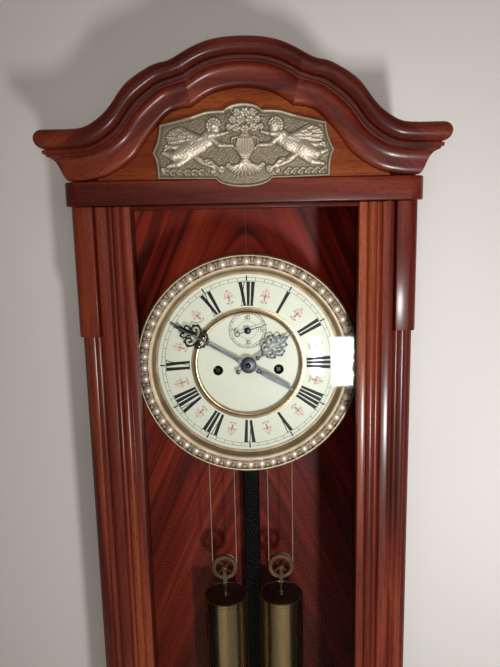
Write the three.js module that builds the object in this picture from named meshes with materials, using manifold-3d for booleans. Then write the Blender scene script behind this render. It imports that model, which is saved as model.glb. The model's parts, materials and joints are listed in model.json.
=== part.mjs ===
// Vienna regulator wall clock with two weights, a going train, a striking train and a glazed door.
// Millimetres. X is to the right, Z is up, and the wall is the plane Y = 0 with the clock along -Y.
// Heights are counted from the dial centre and depths from the wall. The finished group is lowered
// so that its origin is the point on the back where the hanger carries the clock.
import * as THREE from 'three';
import { mergeVertices } from 'three/addons/utils/BufferGeometryUtils.js';
import Module from 'manifold-3d';

const wasm = await Module();
wasm.setup();

// Shared fits
const fit = 0.3; // gap between pieces that seat on, or turn in, one another
const overrun = 2; // how far a cutting shape runs past what it cuts
const turn = Math.PI * 2;

// Fronts of the wooden case: each depth is set from the one behind it
const fronts = {
  side: 156,
  doorGap: 1,
  doorThick: 22,
  blockSetback: 1,
  columnSetback: 4,
  headOverhang: 5,
  baseOverhang: 9,
  boardSetback: 3,
};
fronts.doorBack = fronts.side + fronts.doorGap;
fronts.door = fronts.doorBack + fronts.doorThick;
fronts.block = fronts.door - fronts.blockSetback;
fronts.column = fronts.block - fronts.columnSetback;
fronts.head = fronts.door + fronts.headOverhang;
fronts.base = fronts.door + fronts.baseOverhang;
fronts.tympanum = fronts.head - fronts.boardSetback;

// Wooden case: heights from the dial centre, depths from the wall
const carcase = {
  halfWidth: 139,
  sideThick: 14,
  boardThick: 16,
  boardTop: 214,
  sideDepth: fronts.side,
  floorThick: 12,
  floorTop: -700,
  roofThick: 10,
};
const head = {
  halfWidth: 158,
  depth: fronts.head,
  bottom: 156,
  height: 20.7,
  returnThick: 12,
  boardThick: 16,
  round: 14,
};
head.top = head.bottom + head.height;
head.innerHalf = head.halfWidth - head.returnThick;
const wallGap = 1; // how far mouldings stop short of the wall
const boardHalf = head.innerHalf - fit;
const hangerDrop = 125; // height of the hanger point above the dial centre

// Arched cornice: shares are (across half the head, up the rise of that edge)
const cornice = {
  thick: 12,
  lower: head.top + fit,
  lowerRise: 75.3,
  upper: 219.3,
  upperRise: 70.3,
  project: 16,
};
const crownLowerShares = [[0, 1], [0.084, 0.982], [0.165, 0.937], [0.228, 0.865], [0.272, 0.795]];
const crownUpperShares = [[0, 1], [0.094, 0.99], [0.184, 0.953], [0.266, 0.882], [0.326, 0.81]];
const shoulderLowerShares = [
  [0.272, 0.795], [0.34, 0.78], [0.41, 0.71], [0.51, 0.49], [0.6, 0.25], [0.74, 0.07], [0.87, 0.01],
];
const shoulderUpperShares = [
  [0.326, 0.81], [0.385, 0.745], [0.475, 0.69], [0.61, 0.5], [0.72, 0.2], [0.83, 0.03], [0.93, 0],
];
const crownSteps = 4;
const shoulderSteps = 10;

// Front trim of the case
const trim = { inner: 133.1, outer: 155, back: 140, reeds: 4, reedSteps: 3, reedRiseShare: 0.1 };
const cornerBlock = { outer: 154, depth: fronts.block, round: 9, bottom: 39, ease: 1.2, easeDepth: 7 };
const column = { depth: fronts.column };
const base = { halfWidth: 163, depth: fronts.base, thick: 17, top: -698.3, height: 46 };
const bracket = { halfWidth: 134, depth: 152, height: 74, endHalf: 34, endDepth: 84, waveShare: -0.1 };
const finial = { height: 52, radius: 21, depth: 44 };
const hanger = {
  halfWidth: 34,
  height: 44,
  bottom: 140,
  thick: 3,
  holeRadius: 7,
  slotRadius: 3.2,
  slotRise: 14,
  pocketDepth: 9,
  pocketInset: 3,
};

// Tympanum and its pressed plaque
const tympanum = { depth: fronts.tympanum, thick: 12, drop: 0.5, endShare: 0.8 };
const plaque = {
  halfWidth: 77.5,
  thick: 3,
  rim: 3,
  rimRise: 1.4,
  bottom: 177.2,
  height: 45.5,
  crest: 9.5,
  crestHalfShare: 0.22,
  crestBaseShare: 1.2,
  lobe: 8.2,
  lobeHalfShare: 0.31,
};

// Glazed door, closed, between the two corner trims
const door = {
  outer: 132.8,
  opening: 101.2,
  depth: fronts.door,
  back: fronts.doorBack,
  top: 155.2,
  bottom: -697,
};
const rail = { topHeight: 6, topSetback: 4, bottomHeight: 31.6 };
const rebate = { width: 4.3, depth: 7 };
const glass = { thick: 2.5 };
const pivot = { inset: 5, radius: 2, reach: 12, washer: 4.4, washerThick: 0.7 };
const knob = {
  x: -113,
  z: -430,
  spindle: 3,
  head: 9,
  reach: 18,
  stand: 4,
  tongueReach: 14.5,
  tongueWidth: 5,
  tongueThick: 3,
  tongueSetback: 8,
};
knob.tongueDepth = fronts.side - knob.tongueSetback;

// Movement plates and pillars
const plate = { halfWidth: 64, top: 62, bottom: -46, thick: 3, back: 57, space: 45 };
plate.inside = plate.back + plate.thick;
plate.front = plate.inside + plate.space;
plate.face = plate.front + plate.thick;
const pillar = { radius: 3.5, pin: 1.5, pinReach: 1.5, upperX: 58, upperZ: 56, lowerX: 45.1, lowerZ: -40 };
const frameIron = {
  thick: 5,
  halfWidth: 46,
  armThick: 5,
  bottom: 14,
  top: 58,
  studHalf: 8,
  studDepth: 44,
  studTop: 54,
  studBottom: 44,
  slotHalf: 3.6,
  slotDepth: 33,
};

// Dial stack, in front of the movement
const dial = {
  rear: 122,
  baseThick: 2,
  enamelThick: 2.7,
  radius: 99,
  foot: 3,
  footX: 56,
  footUpper: 40,
  footLower: -30,
};
dial.baseFace = dial.rear + dial.baseThick;
dial.face = dial.baseFace + fit + dial.enamelThick;
const chapter = { outer: 92.2, inner: 52.2, segments: 48 };
const innerRing = { inner: 50, outer: 55.6, rise: 2, lip: 1 };
const bezel = { sight: 89, outer: 110, rise: 9, beadCircle: 103.2, beadRadius: 4.7, rear: 120 };
const seconds = { z: 34, hole: 2 };
const winding = { x: 30.5, z: -7, hole: 4.7, square: 3.7, squareEnd: 123.2 };

// Trains: teeth, leaves and the places of the arbors
const gear = {
  addendumShare: 0.95,
  dedendumShare: 1.5,
  leafShare: 0.4,
  leafTipShare: 0.14,
  leaves: 6,
  backlash: 0.12,
};
const toothed = { thick: 1.6, rim: 2.2, arms: 4, armWidth: 2.6, hub: 3.4, holeSteps: 2 };
const arbor = { radius: 1.3, pivotRadius: 0.8, pinionLength: 5, play: 0.4 };
const barrel = {
  teeth: 72,
  drum: 11.2,
  flange: 15.5,
  flangeThick: 1.4,
  shaft: 3,
  drumRear: 68,
  drumFront: 95,
  wheelRear: 64,
  grooves: 4,
  grooveDepth: 0.6,
};
const centre = {
  teeth: 48,
  third: 20.25,
  wheelRear: 99,
  arborFront: 137.5,
  nut: 2.2,
  nutRear: 136.2,
  nutFace: 138.4,
};
const third = { teeth: 45, module: 0.72, pinionRear: 97.5, wheelRear: 74.5 };
const escape = { teeth: 40, radius: 11.5, toothHeight: 2.2, wheelRear: 66.5, pinionRear: 72.5, front: 129.6 };
const anchor = {
  z: 50,
  hub: 3,
  reach: 13,
  band: 2.4,
  spread: 0.86,
  thick: 3,
  rear: 65.8,
  steps: 6,
  crutchDepth: 49,
  crutchThick: 2,
  crutchWidth: 3,
  forkZ: -13,
  forkGap: 0.7,
  forkThick: 1.5,
  forkHeight: 3,
  forkReach: 32,
};
const motion = {
  cannon: 8,
  wheel: 24,
  pinion: 8,
  hour: 32,
  drop: 12,
  rear: 110.2,
  step: 3,
  pipe: 3.2,
  pipeBore: 2.2,
  pipeFront: 133,
};
const striking = {
  great: 54,
  reach: 27,
  pinWheel: 42,
  lockWheel: 36,
  pinLift: 100,
  lockTurn: 45,
  flyTurn: 120,
  lockModule: 0.6,
  pinModule: 0.66,
  pinWheelRear: 76.5,
  lockRear: 84.5,
  pins: 8,
  pinCircle: 11.5,
  pinRadius: 0.8,
  pinReach: 4,
};
const fly = { half: 9.5, rear: 90, front: 101, thick: 0.8 };
const hammer = {
  x: -58,
  z: 14,
  tailWidth: 3,
  tailRear: 79,
  depth: 50,
  headX: -43.5,
  headLength: 14,
  headRadius: 5,
  wire: 1.4,
  hub: 2.6,
};
const gong = {
  z: -62,
  inner: 10,
  pitch: 7.5,
  turns: 4,
  wire: 1.5,
  depth: 22.5,
  steps: 18,
  sides: 5,
  foot: 13,
  footDepth: 19,
  post: 5.5,
  postDepth: 27,
  lug: 4,
};

// Hands
const hands = { hub: 8.5, thick: 1, stem: 3, scroll: 1.6, steps: 7 };
const minuteHand = { length: 88, tail: 51, scrollFrom: 50, scrollSize: 5.4, bearing: 300, rear: 134.6 };
const hourHand = { length: 56, tail: 13, scrollFrom: 24, scrollSize: 5.4, bearing: 55, rear: 131.4 };
const secondsHand = { length: 20, tail: 11, ring: 2.4, bearing: 72, rear: 129.9, thick: 0.6, stem: 1.2 };

// Pendulum
const pendulum = {
  depth: 37,
  rodHalf: 9.5,
  rodThick: 7,
  rodTop: 38,
  spring: 3,
  springThick: 0.4,
  pin: 1.2,
  pinHalf: 6.5,
};
const bob = { z: -560, radius: 66, thick: 20, edge: 5, segments: 30, steps: 3 };
const rating = { radius: 7, height: 6, thread: 2, threadReach: 34, travel: 4 };

// Weights, pulleys and lines
const line = { radius: 0.6, sides: 6, arcSteps: 8 };
const pulley = {
  radius: 14.6,
  groove: 12.4,
  width: 6,
  rimInner: 9.6,
  web: 2,
  hub: 3.6,
  bore: 1.9,
  arms: 4,
  armWidth: 3,
  z: -246,
  depth: 82,
  segments: 16,
};
line.run = pulley.groove + fit * 2 + line.radius;
line.drumRun = barrel.drum + fit + line.radius;
pulley.x = winding.x - line.drumRun + line.run;
const weight = {
  radius: 24.9,
  drop: 34,
  length: 170,
  cap: 3,
  rim: 0.8,
  axle: 1.5,
  cheek: 1.2,
  cheekHalf: 3,
  forkGap: 1.4,
  forkDrop: 20,
  neck: 2.4,
};
weight.top = pulley.z - weight.drop;
weight.forkBottom = pulley.z - weight.forkDrop;

// Solid helpers

/** Joins equal corners, drops faces without area and turns the faces outwards. */
function weld(geometry) {
  const bare = geometry.index ? geometry.toNonIndexed() : geometry.clone();
  for (const name of Object.keys(bare.attributes)) {
    if (name !== 'position') bare.deleteAttribute(name);
  }
  const merged = mergeVertices(bare, 1e-4);
  const source = merged.index.array;
  const place = merged.attributes.position;
  const corner = [new THREE.Vector3(), new THREE.Vector3(), new THREE.Vector3()];
  const index = [];
  let volume = 0;
  for (let i = 0; i < source.length; i += 3) {
    const [a, b, c] = [source[i], source[i + 1], source[i + 2]];
    if (a === b || b === c || a === c) continue;
    index.push(a, b, c);
    [a, b, c].forEach((vertex, k) => corner[k].fromBufferAttribute(place, vertex));
    volume += corner[0].dot(corner[1].clone().cross(corner[2]));
  }
  if (volume < 0) index.reverse();
  const result = new THREE.BufferGeometry();
  result.setAttribute('position', place.clone());
  result.setIndex(index);
  return result;
}

function toManifold(geometry) {
  const welded = weld(geometry);
  return new wasm.Manifold(new wasm.Mesh({
    numProp: 3,
    vertProperties: new Float32Array(welded.attributes.position.array),
    triVerts: new Uint32Array(welded.index.array),
  }));
}

function fromManifold(solid) {
  const mesh = solid.getMesh();
  const geometry = new THREE.BufferGeometry();
  geometry.setAttribute('position', new THREE.BufferAttribute(mesh.vertProperties, 3));
  geometry.setIndex(new THREE.BufferAttribute(mesh.triVerts, 1));
  return geometry;
}

function unite(...geometries) {
  return fromManifold(geometries.map(toManifold).reduce((whole, piece) => whole.add(piece)));
}

function cut(body, ...tools) {
  return fromManifold(tools.map(toManifold).reduce((whole, tool) => whole.subtract(tool), toManifold(body)));
}

/** Box between two x, two depths from the wall and two heights. */
function block([x0, x1], [d0, d1], [z0, z1]) {
  const box = new THREE.BoxGeometry(Math.abs(x1 - x0), Math.abs(d1 - d0), Math.abs(z1 - z0));
  return box.translate((x0 + x1) / 2, -(d0 + d1) / 2, (z0 + z1) / 2);
}

/** Outline in x and z, made solid from a rear depth forwards. */
function slab(outline, rear, thick, holes = []) {
  const shape = new THREE.Shape(outline);
  shape.holes = holes.map((hole) => new THREE.Path(hole));
  const solid = new THREE.ExtrudeGeometry(shape, { depth: thick, bevelEnabled: false });
  return solid.rotateX(Math.PI / 2).translate(0, -rear, 0);
}

/** Outline in x and depth, made solid between two heights. */
function post(outline, z0, z1) {
  const shape = new THREE.Shape(outline.map((point) => new THREE.Vector2(point.x, -point.y)));
  return new THREE.ExtrudeGeometry(shape, { depth: z1 - z0, bevelEnabled: false }).translate(0, 0, z0);
}

/** Outline in depth and height, made solid across the width. */
function beam(outline, x0, x1) {
  const shape = new THREE.Shape(outline.map((point) => new THREE.Vector2(-point.x, point.y)));
  const solid = new THREE.ExtrudeGeometry(shape, { depth: x1 - x0, bevelEnabled: false });
  return solid.rotateX(Math.PI / 2).rotateZ(Math.PI / 2).translate(x0, 0, 0);
}

/** Turned piece whose axis runs forwards from the wall: pairs of depth and radius. */
function turnedForward(pairs, x, z, segments) {
  const profile = pairs.map(([depth, radius]) => new THREE.Vector2(radius, -depth));
  return new THREE.LatheGeometry(profile, segments).translate(x, 0, z);
}

/** Plain round bar or hole along the depth. */
function bar(rear, front, radius, x, z, segments) {
  return turnedForward([[rear, 0], [rear, radius], [front, radius], [front, 0]], x, z, segments);
}

/** Turned piece with an upright axis: pairs of height and radius. */
function turnedUpright(pairs, x, depth, segments) {
  const profile = pairs.map(([z, radius]) => new THREE.Vector2(radius, z));
  return new THREE.LatheGeometry(profile, segments).rotateX(Math.PI / 2).translate(x, -depth, 0);
}

function arc(cx, cy, rx, ry, from, to, steps) {
  return Array.from({ length: steps + 1 }, (_, i) => {
    const angle = from + ((to - from) * i) / steps;
    return new THREE.Vector2(cx + rx * Math.cos(angle), cy + ry * Math.sin(angle));
  });
}

function circle(cx, cy, radius, steps) {
  return arc(cx, cy, radius, radius, 0, turn, steps).slice(0, steps);
}

function mirrored(outline) {
  return outline.map((point) => new THREE.Vector2(-point.x, point.y)).reverse();
}

function points(pairs) {
  return pairs.map(([x, y]) => new THREE.Vector2(x, y));
}

/** Closed section carried through a row of rings and capped at both ends. */
function loft(rings, section) {
  const count = section.length;
  const index = [];
  for (let r = 0; r + 1 < rings.length; r += 1) {
    for (let i = 0; i < count; i += 1) {
      const a = r * count + i;
      const b = r * count + ((i + 1) % count);
      index.push(a, b, b + count, a, b + count, a + count);
    }
  }
  const last = (rings.length - 1) * count;
  for (const [a, b, c] of THREE.ShapeUtils.triangulateShape(section, [])) {
    index.push(a, c, b, last + a, last + b, last + c);
  }
  const geometry = new THREE.BufferGeometry();
  const positions = rings.flat().flatMap((p) => p.toArray());
  geometry.setAttribute('position', new THREE.Float32BufferAttribute(positions, 3));
  geometry.setIndex(index);
  return geometry;
}

/** Round bar along a route drawn in x and z at one depth. */
function flatTube(route, radius, sides, depth) {
  const section = circle(0, 0, radius, sides);
  const rings = route.map((point, i) => {
    const before = route[Math.max(i - 1, 0)];
    const after = route[Math.min(i + 1, route.length - 1)];
    const along = after.clone().sub(before).normalize();
    const across = new THREE.Vector2(along.y, -along.x);
    return section.map(({ x, y }) => {
      const { x: px, y: pz } = across.clone().multiplyScalar(x).add(point);
      return new THREE.Vector3(px, -depth + y, pz);
    });
  });
  return loft(rings, section);
}

function spline(pairs, steps) {
  return new THREE.SplineCurve(points(pairs)).getPoints(steps);
}

// Gears

/** Angle, in the plane of the dial, from one arbor to another. */
function bearingTo(from, to) {
  return Math.atan2(to.z - from.z, to.x - from.x);
}

function stepAway(from, angle, distance) {
  return { x: from.x + distance * Math.cos(angle), z: from.z + distance * Math.sin(angle) };
}

/** Pointed wheel teeth, the first of them centred on the angle faced. */
function wheelOutline(teeth, module, faced, at) {
  const pitch = (module * teeth) / 2;
  const [tip, root] = [pitch + module * gear.addendumShare, pitch - module * gear.dedendumShare];
  const pace = turn / teeth;
  const outline = [];
  for (let i = 0; i < teeth; i += 1) {
    for (const [radius, share] of [[tip, 0], [root, 0.5]]) {
      const angle = faced + (i + share) * pace;
      outline.push(new THREE.Vector2(at.x + radius * Math.cos(angle), at.z + radius * Math.sin(angle)));
    }
  }
  return outline;
}

/** Pinion leaves with a gap centred on the angle faced. */
function pinionOutline(leaves, module, faced, at) {
  const pitch = (module * leaves) / 2;
  const tip = pitch + module * gear.addendumShare;
  const root = Math.max(pitch - module * gear.dedendumShare, arbor.radius);
  const pace = turn / leaves;
  const outline = [];
  for (let i = 0; i < leaves; i += 1) {
    const middle = faced + (i + 0.5) * pace;
    const { leafShare, leafTipShare } = gear;
    const corners = [[root, -leafShare], [tip, -leafTipShare], [tip, leafTipShare], [root, leafShare]];
    for (const [radius, share] of corners) {
      const angle = middle + (share * pace) / 2;
      outline.push(new THREE.Vector2(at.x + radius * Math.cos(angle), at.z + radius * Math.sin(angle)));
    }
  }
  return outline;
}

/** Openings between the arms of a wheel, each an arc of the ring between hub and rim. */
function crossings(outer, at, arms) {
  const pace = turn / arms;
  return Array.from({ length: arms }, (_, i) => {
    const ring = (radius, reverse) => {
      const half = pace / 2 - toothed.armWidth / 2 / radius;
      const middle = (i + 0.5) * pace;
      const [from, to] = reverse ? [middle + half, middle - half] : [middle - half, middle + half];
      return arc(at.x, at.z, radius, radius, from, to, toothed.holeSteps);
    };
    return [...ring(outer, false), ...ring(toothed.hub + toothed.armWidth / 2, true)];
  });
}

function toothedWheel(teeth, module, faced, at, rear) {
  const rimInner = (module * teeth) / 2 - module * gear.dedendumShare - toothed.rim;
  const rim = wheelOutline(teeth, module, faced, at);
  return slab(rim, rear, toothed.thick, crossings(rimInner, at, toothed.arms));
}

function pinion(leaves, module, faced, at, rear, length = arbor.pinionLength) {
  return slab(pinionOutline(leaves, module, faced, at), rear, length);
}

/** Arbor with a pivot at each end, running in the two plates. */
function platedArbor(at, radius = arbor.radius) {
  const [rear, front] = [plate.inside + arbor.play, plate.front - arbor.play];
  const [tail, nose] = [plate.back + arbor.play, plate.face - arbor.play];
  const pivotRadius = arbor.pivotRadius;
  const pairs = [[tail, 0], [tail, pivotRadius], [rear, pivotRadius], [rear, radius]];
  pairs.push([front, radius], [front, pivotRadius], [nose, pivotRadius], [nose, 0]);
  return turnedForward(pairs, at.x, at.z, 6);
}

// Places of the arbors, worked out from the teeth in mesh
const timeBarrelAt = { x: winding.x, z: winding.z };
const strikeBarrelAt = { x: -winding.x, z: winding.z };
const centreAt = { x: 0, z: 0 };
const escapeAt = { x: 0, z: seconds.z };
const greatModule = (2 * (Math.hypot(winding.x, winding.z) - gear.backlash)) / (barrel.teeth + gear.leaves);
const centreModule = (2 * (centre.third - gear.backlash)) / (centre.teeth + gear.leaves);
const thirdModule = third.module;
const thirdReach = (thirdModule * (third.teeth + gear.leaves)) / 2 + gear.backlash;
const thirdRise = (centre.third ** 2 - thirdReach ** 2 + seconds.z ** 2) / (2 * seconds.z);
const thirdAt = { x: Math.sqrt(centre.third ** 2 - thirdRise ** 2), z: thirdRise };
const strikeModule = (2 * (striking.reach - gear.backlash)) / (striking.great + gear.leaves);
const pinWheelAt = stepAway(strikeBarrelAt, THREE.MathUtils.degToRad(striking.pinLift), striking.reach);
const lockReach = (striking.pinModule * (striking.pinWheel + gear.leaves)) / 2 + gear.backlash;
const lockAt = stepAway(pinWheelAt, THREE.MathUtils.degToRad(striking.lockTurn), lockReach);
const flyReach = (striking.lockModule * (striking.lockWheel + gear.leaves)) / 2 + gear.backlash;
const flyAt = stepAway(lockAt, THREE.MathUtils.degToRad(striking.flyTurn), flyReach);
const minuteWheelAt = { x: 0, z: -motion.drop };
const minuteModule = (2 * (motion.drop - gear.backlash)) / (motion.cannon + motion.wheel);
const hourModule = (2 * (motion.drop - gear.backlash)) / (motion.pinion + motion.hour);
const anchorAt = { x: 0, z: anchor.z };
const hammerAt = { x: hammer.x, z: hammer.z };

// The clock as a scene
const clock = new THREE.Group();
clock.position.z = -hangerDrop;

const finishes = {
  mahogany: { color: '#6a2814', roughness: 0.28, metalness: 0 },
  veneer: { color: '#7a2012', roughness: 0.3, metalness: 0 },
  burr: { color: '#8a4315', roughness: 0.3, metalness: 0 },
  brass: { color: '#b5a27a', roughness: 0.3, metalness: 1 },
  pressed: { color: '#a89a72', roughness: 0.4, metalness: 1 },
  steel: { color: '#6a707c', roughness: 0.3, metalness: 1 },
  blued: { color: '#3a4050', roughness: 0.3, metalness: 1 },
  iron: { color: '#2a2a2c', roughness: 0.6, metalness: 1 },
  enamel: { color: '#e3e3cf', roughness: 0.25, metalness: 0 },
  ebony: { color: '#15110f', roughness: 0.4, metalness: 0 },
  gut: { color: '#8d7462', roughness: 0.7, metalness: 0 },
  clear: { color: '#dfe8e6', roughness: 0.05, metalness: 0, transparent: true, opacity: 0.2 },
};

function add(name, finish, geometry) {
  const welded = weld(geometry);
  welded.computeVertexNormals();
  const mesh = new THREE.Mesh(welded, new THREE.MeshStandardMaterial(finishes[finish]));
  mesh.name = name;
  clock.add(mesh);
}

const bothSides = [['left', -1], ['right', 1]];

/** Plan of a band that runs along one side, across the front and back along the other side. */
function wrapPlan({ halfWidth, depth, returnThick, boardThick, round }) {
  const outer = arc(halfWidth - round, depth - round, round, round, 0, Math.PI / 2, 4);
  const inner = points([[halfWidth - returnThick, depth - boardThick]]);
  const back = points([[halfWidth - returnThick, wallGap], [halfWidth, wallGap]]);
  return [...back, ...outer, ...mirrored([...back, ...outer]), ...mirrored(inner), ...inner];
}

/** Moulding section carried round three sides with mitred corners: section x is out, y is up. */
function wrapMoulding(section, halfWidth, depth, lower) {
  const rings = [];
  for (const side of [-1, 1]) {
    const corner = section.map(
      ({ x, y }) => new THREE.Vector3(side * (halfWidth + x), -(depth + x), lower + y),
    );
    const end = section.map(({ x, y }) => new THREE.Vector3(side * (halfWidth + x), -wallGap, lower + y));
    rings.push(...(side < 0 ? [end, corner] : [corner, end]));
  }
  return loft(rings, section);
}

// Carcase
function backboard() {
  const rise = [base.top - base.height, carcase.boardTop];
  const board = block([-boardHalf, boardHalf], [0, carcase.boardThick], rise);
  const recess = block(
    [-hanger.halfWidth - fit, hanger.halfWidth + fit],
    [-overrun, hanger.thick + fit],
    [hanger.bottom - fit, hanger.bottom + hanger.height + fit],
  );
  const pocket = block(
    [-hanger.holeRadius, hanger.holeRadius],
    [0, hanger.pocketDepth],
    [hanger.bottom + hanger.pocketInset, hanger.bottom + hanger.height - hanger.pocketInset],
  );
  return cut(board, recess, pocket);
}

function hangerPlate() {
  const { halfWidth, bottom, height, thick, holeRadius, slotRadius, slotRise } = hanger;
  const top = bottom + height;
  const outline = points([[-halfWidth, bottom], [halfWidth, bottom], [halfWidth, top], [-halfWidth, top]]);
  const middle = bottom + height / 2 - slotRise / 2;
  const neck = Math.asin(slotRadius / holeRadius);
  const keyhole = [
    ...arc(0, middle, holeRadius, holeRadius, Math.PI / 2 + neck, Math.PI * 2.5 - neck, 10),
    ...arc(0, middle + slotRise, slotRadius, slotRadius, 0, Math.PI, 5),
  ];
  return slab(outline, 0, thick, [keyhole]);
}

function sidePanel(side) {
  const outer = carcase.halfWidth;
  const inner = outer - carcase.sideThick;
  const panel = block(
    [side * inner, side * outer],
    [carcase.boardThick + fit, carcase.sideDepth],
    [carcase.floorTop + fit, head.bottom - fit],
  );
  if (side > 0) return panel;
  const play = fit * 2;
  const sweep = Math.hypot(knob.tongueReach, knob.tongueWidth / 2);
  const dip = Math.sqrt(sweep ** 2 - (inner + knob.x) ** 2);
  const mortise = block(
    [-inner + overrun, knob.x - sweep - play],
    [knob.tongueDepth - play, knob.tongueDepth + knob.tongueThick + play],
    [knob.z - dip - play, knob.z + knob.tongueWidth / 2 + play],
  );
  return cut(panel, mortise);
}

add('backboard', 'veneer', backboard());
add('hanger_plate', 'brass', hangerPlate());
for (const [name, side] of bothSides) add(`side_panel_${name}`, 'mahogany', sidePanel(side));
const floorDepths = [carcase.boardThick + fit, base.depth - base.thick - fit];
add('case_floor', 'mahogany', block([-boardHalf, boardHalf], floorDepths,
  [carcase.floorTop - carcase.floorThick, carcase.floorTop]));
const roofDepths = [carcase.boardThick + fit, head.depth - head.boardThick - fit];
const roofRise = [head.bottom, head.bottom + carcase.roofThick];
add('case_roof', 'mahogany', block([-boardHalf, boardHalf], roofDepths, roofRise));

// Hinge line of the door, inside the front outer corner of its right stile
const hinge = { x: door.outer - pivot.inset, depth: door.depth - pivot.inset };

function pinHole(z0, z1) {
  const radius = pivot.radius + fit;
  return turnedUpright([[z0, 0], [z0, radius], [z1, radius], [z1, 0]], hinge.x, hinge.depth, 12);
}

add('frieze', 'mahogany', cut(
  post(wrapPlan(head), head.bottom, head.top),
  pinHole(head.bottom - overrun, head.bottom + pivot.reach),
));

// Cornice: the moulding follows the arch in front and returns level along the sides
function archEdge(crownShares, shoulderShares, floorZ, rise) {
  const crown = spline(crownShares, crownSteps);
  const shoulder = spline(shoulderShares, shoulderSteps).slice(1);
  return [...crown, ...shoulder].map(({ x, y }) => new THREE.Vector2(x * head.halfWidth, floorZ + y * rise));
}
const lowerEdge = archEdge(crownLowerShares, shoulderLowerShares, cornice.lower, cornice.lowerRise);
const upperEdge = archEdge(crownUpperShares, shoulderUpperShares, cornice.upper, cornice.upperRise);

/** Section of the cornice as shares of its projection (x) and of its height (y). */
function corniceSection() {
  const ovolo = arc(0.1, 0.19, 0.36, 0.13, -Math.PI / 2, Math.PI / 2, 3);
  const cove = arc(0.56, 0.4, 0.26, 0.1, -Math.PI * 0.95, -Math.PI * 1.45, 2);
  const nose = arc(0.62, 0.82, 0.38, 0.18, -Math.PI / 2, Math.PI / 2, 4);
  const steps = points([[0.6, 0.53], [0.6, 0.57], [0.72, 0.57], [0.72, 0.61]]);
  const back = -cornice.thick / cornice.project;
  return [...points([[back, 0], [0.1, 0]]), ...ovolo, ...cove, ...steps, ...nose, ...points([[back, 1]])];
}

function corniceSolid() {
  const section = corniceSection();
  const ring = (low, high) => section.map(({ x, y }) => new THREE.Vector3(
    low.x + (high.x - low.x) * y,
    -(head.depth + x * cornice.project),
    low.y + (high.y - low.y) * y,
  ));
  const front = lowerEdge.map((low, i) => ring(low, upperEdge[i]));
  const level = cornice.upper - cornice.lower;
  const corner = section.map(({ x, y }) => new THREE.Vector3(
    head.halfWidth + x * cornice.project,
    -(head.depth + x * cornice.project),
    cornice.lower + y * level,
  ));
  const end = corner.map((p) => new THREE.Vector3(p.x, -wallGap, p.z));
  const right = [...front, corner, end];
  const left = right.slice(1).reverse().map((row) => row.map((p) => new THREE.Vector3(-p.x, p.y, p.z)));
  return loft([...left, ...right], section);
}
add('cornice', 'mahogany', corniceSolid());

function tympanumSolid() {
  const reach = lowerEdge.filter((p) => p.x < head.halfWidth * tympanum.endShare);
  const top = reach.map((p) => new THREE.Vector2(p.x, p.y - tympanum.drop));
  const end = top[top.length - 1];
  const right = [new THREE.Vector2(end.x, head.top + fit), ...top.slice().reverse()];
  return slab([...right, ...mirrored(right).slice(1)], tympanum.depth - tympanum.thick, tympanum.thick);
}
add('tympanum', 'burr', tympanumSolid());

// Pressed plaque over the tympanum: shares are (across the half width, up the height)
const plaqueEdgeShares = [
  [0.96, 0], [1, 0.48], [0.975, 0.8], [0.92, 0.97], [0.7, 1], [0.57, 1.08], [0.44, 1.24], [0.24, 1.27],
];

function plaqueOutline(inset) {
  const shrink = (plaque.halfWidth - inset) / plaque.halfWidth;
  const { bottom, height, halfWidth } = plaque;
  const middle = bottom + height / 2;
  const edge = plaqueEdgeShares.map(([x, y]) => new THREE.Vector2(x * halfWidth, bottom + y * height));
  const crestZ = bottom + height * plaque.crestBaseShare;
  const crest = arc(0, crestZ, halfWidth * plaque.crestHalfShare, plaque.crest, 0.35, Math.PI / 2, 3);
  const lobe = arc(0, bottom, halfWidth * plaque.lobeHalfShare, plaque.lobe, -Math.PI / 2, -0.12, 4);
  const right = [...lobe, ...edge, ...crest];
  const whole = [...right, ...mirrored(right).slice(1, -1)];
  return whole.map((p) => new THREE.Vector2(p.x * shrink, middle + (p.y - middle) * shrink));
}

function plaqueSolid() {
  const rear = head.depth + fit;
  const body = slab(plaqueOutline(0), rear, plaque.thick);
  const flange = slab(plaqueOutline(plaque.rim), tympanum.depth + fit, rear - tympanum.depth);
  const below = [head.top - plaque.height, head.top + fit];
  const foot = block([-head.halfWidth, head.halfWidth], [0, head.depth + fit], below);
  const opened = [plaqueOutline(plaque.rim).reverse()];
  const rim = slab(plaqueOutline(0), rear + plaque.thick - fit, plaque.rimRise + fit, opened);
  return unite(body, rim, cut(flange, foot));
}
add('plaque', 'pressed', plaqueSolid());

// Corner trim: plain blocks above, reeded quarter columns below
function cornerPlan(front) {
  const { inner, back } = trim;
  const lap = carcase.halfWidth + fit;
  const seat = carcase.sideDepth + fit;
  return [...front, ...points([[lap, back], [lap, seat], [inner, seat]])];
}

function blockPlan() {
  const { outer, depth, round, ease, easeDepth } = cornerBlock;
  const eased = points([[trim.inner, depth - easeDepth], [trim.inner + ease, depth]]);
  const corner = arc(outer - round, depth - round, round, round, Math.PI / 2, 0, 5);
  return cornerPlan([...eased, ...corner, ...points([[outer, trim.back]])]);
}

function columnPlan() {
  const radius = trim.outer - trim.inner;
  const middle = { x: trim.inner, d: column.depth - radius };
  const rise = radius * trim.reedRiseShare;
  const total = trim.reeds * trim.reedSteps;
  const front = Array.from({ length: total + 1 }, (_, i) => {
    const share = (i % trim.reedSteps) / trim.reedSteps;
    const reach = radius - rise + rise * Math.sin(Math.PI * share);
    const angle = Math.PI / 2 - ((Math.PI / 2) * i) / total;
    return new THREE.Vector2(middle.x + reach * Math.cos(angle), middle.d + reach * Math.sin(angle));
  });
  return cornerPlan([...front, ...points([[trim.outer - rise, trim.back]])]);
}

function sided(outline, side) {
  return side > 0 ? outline : mirrored(outline);
}

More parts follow.
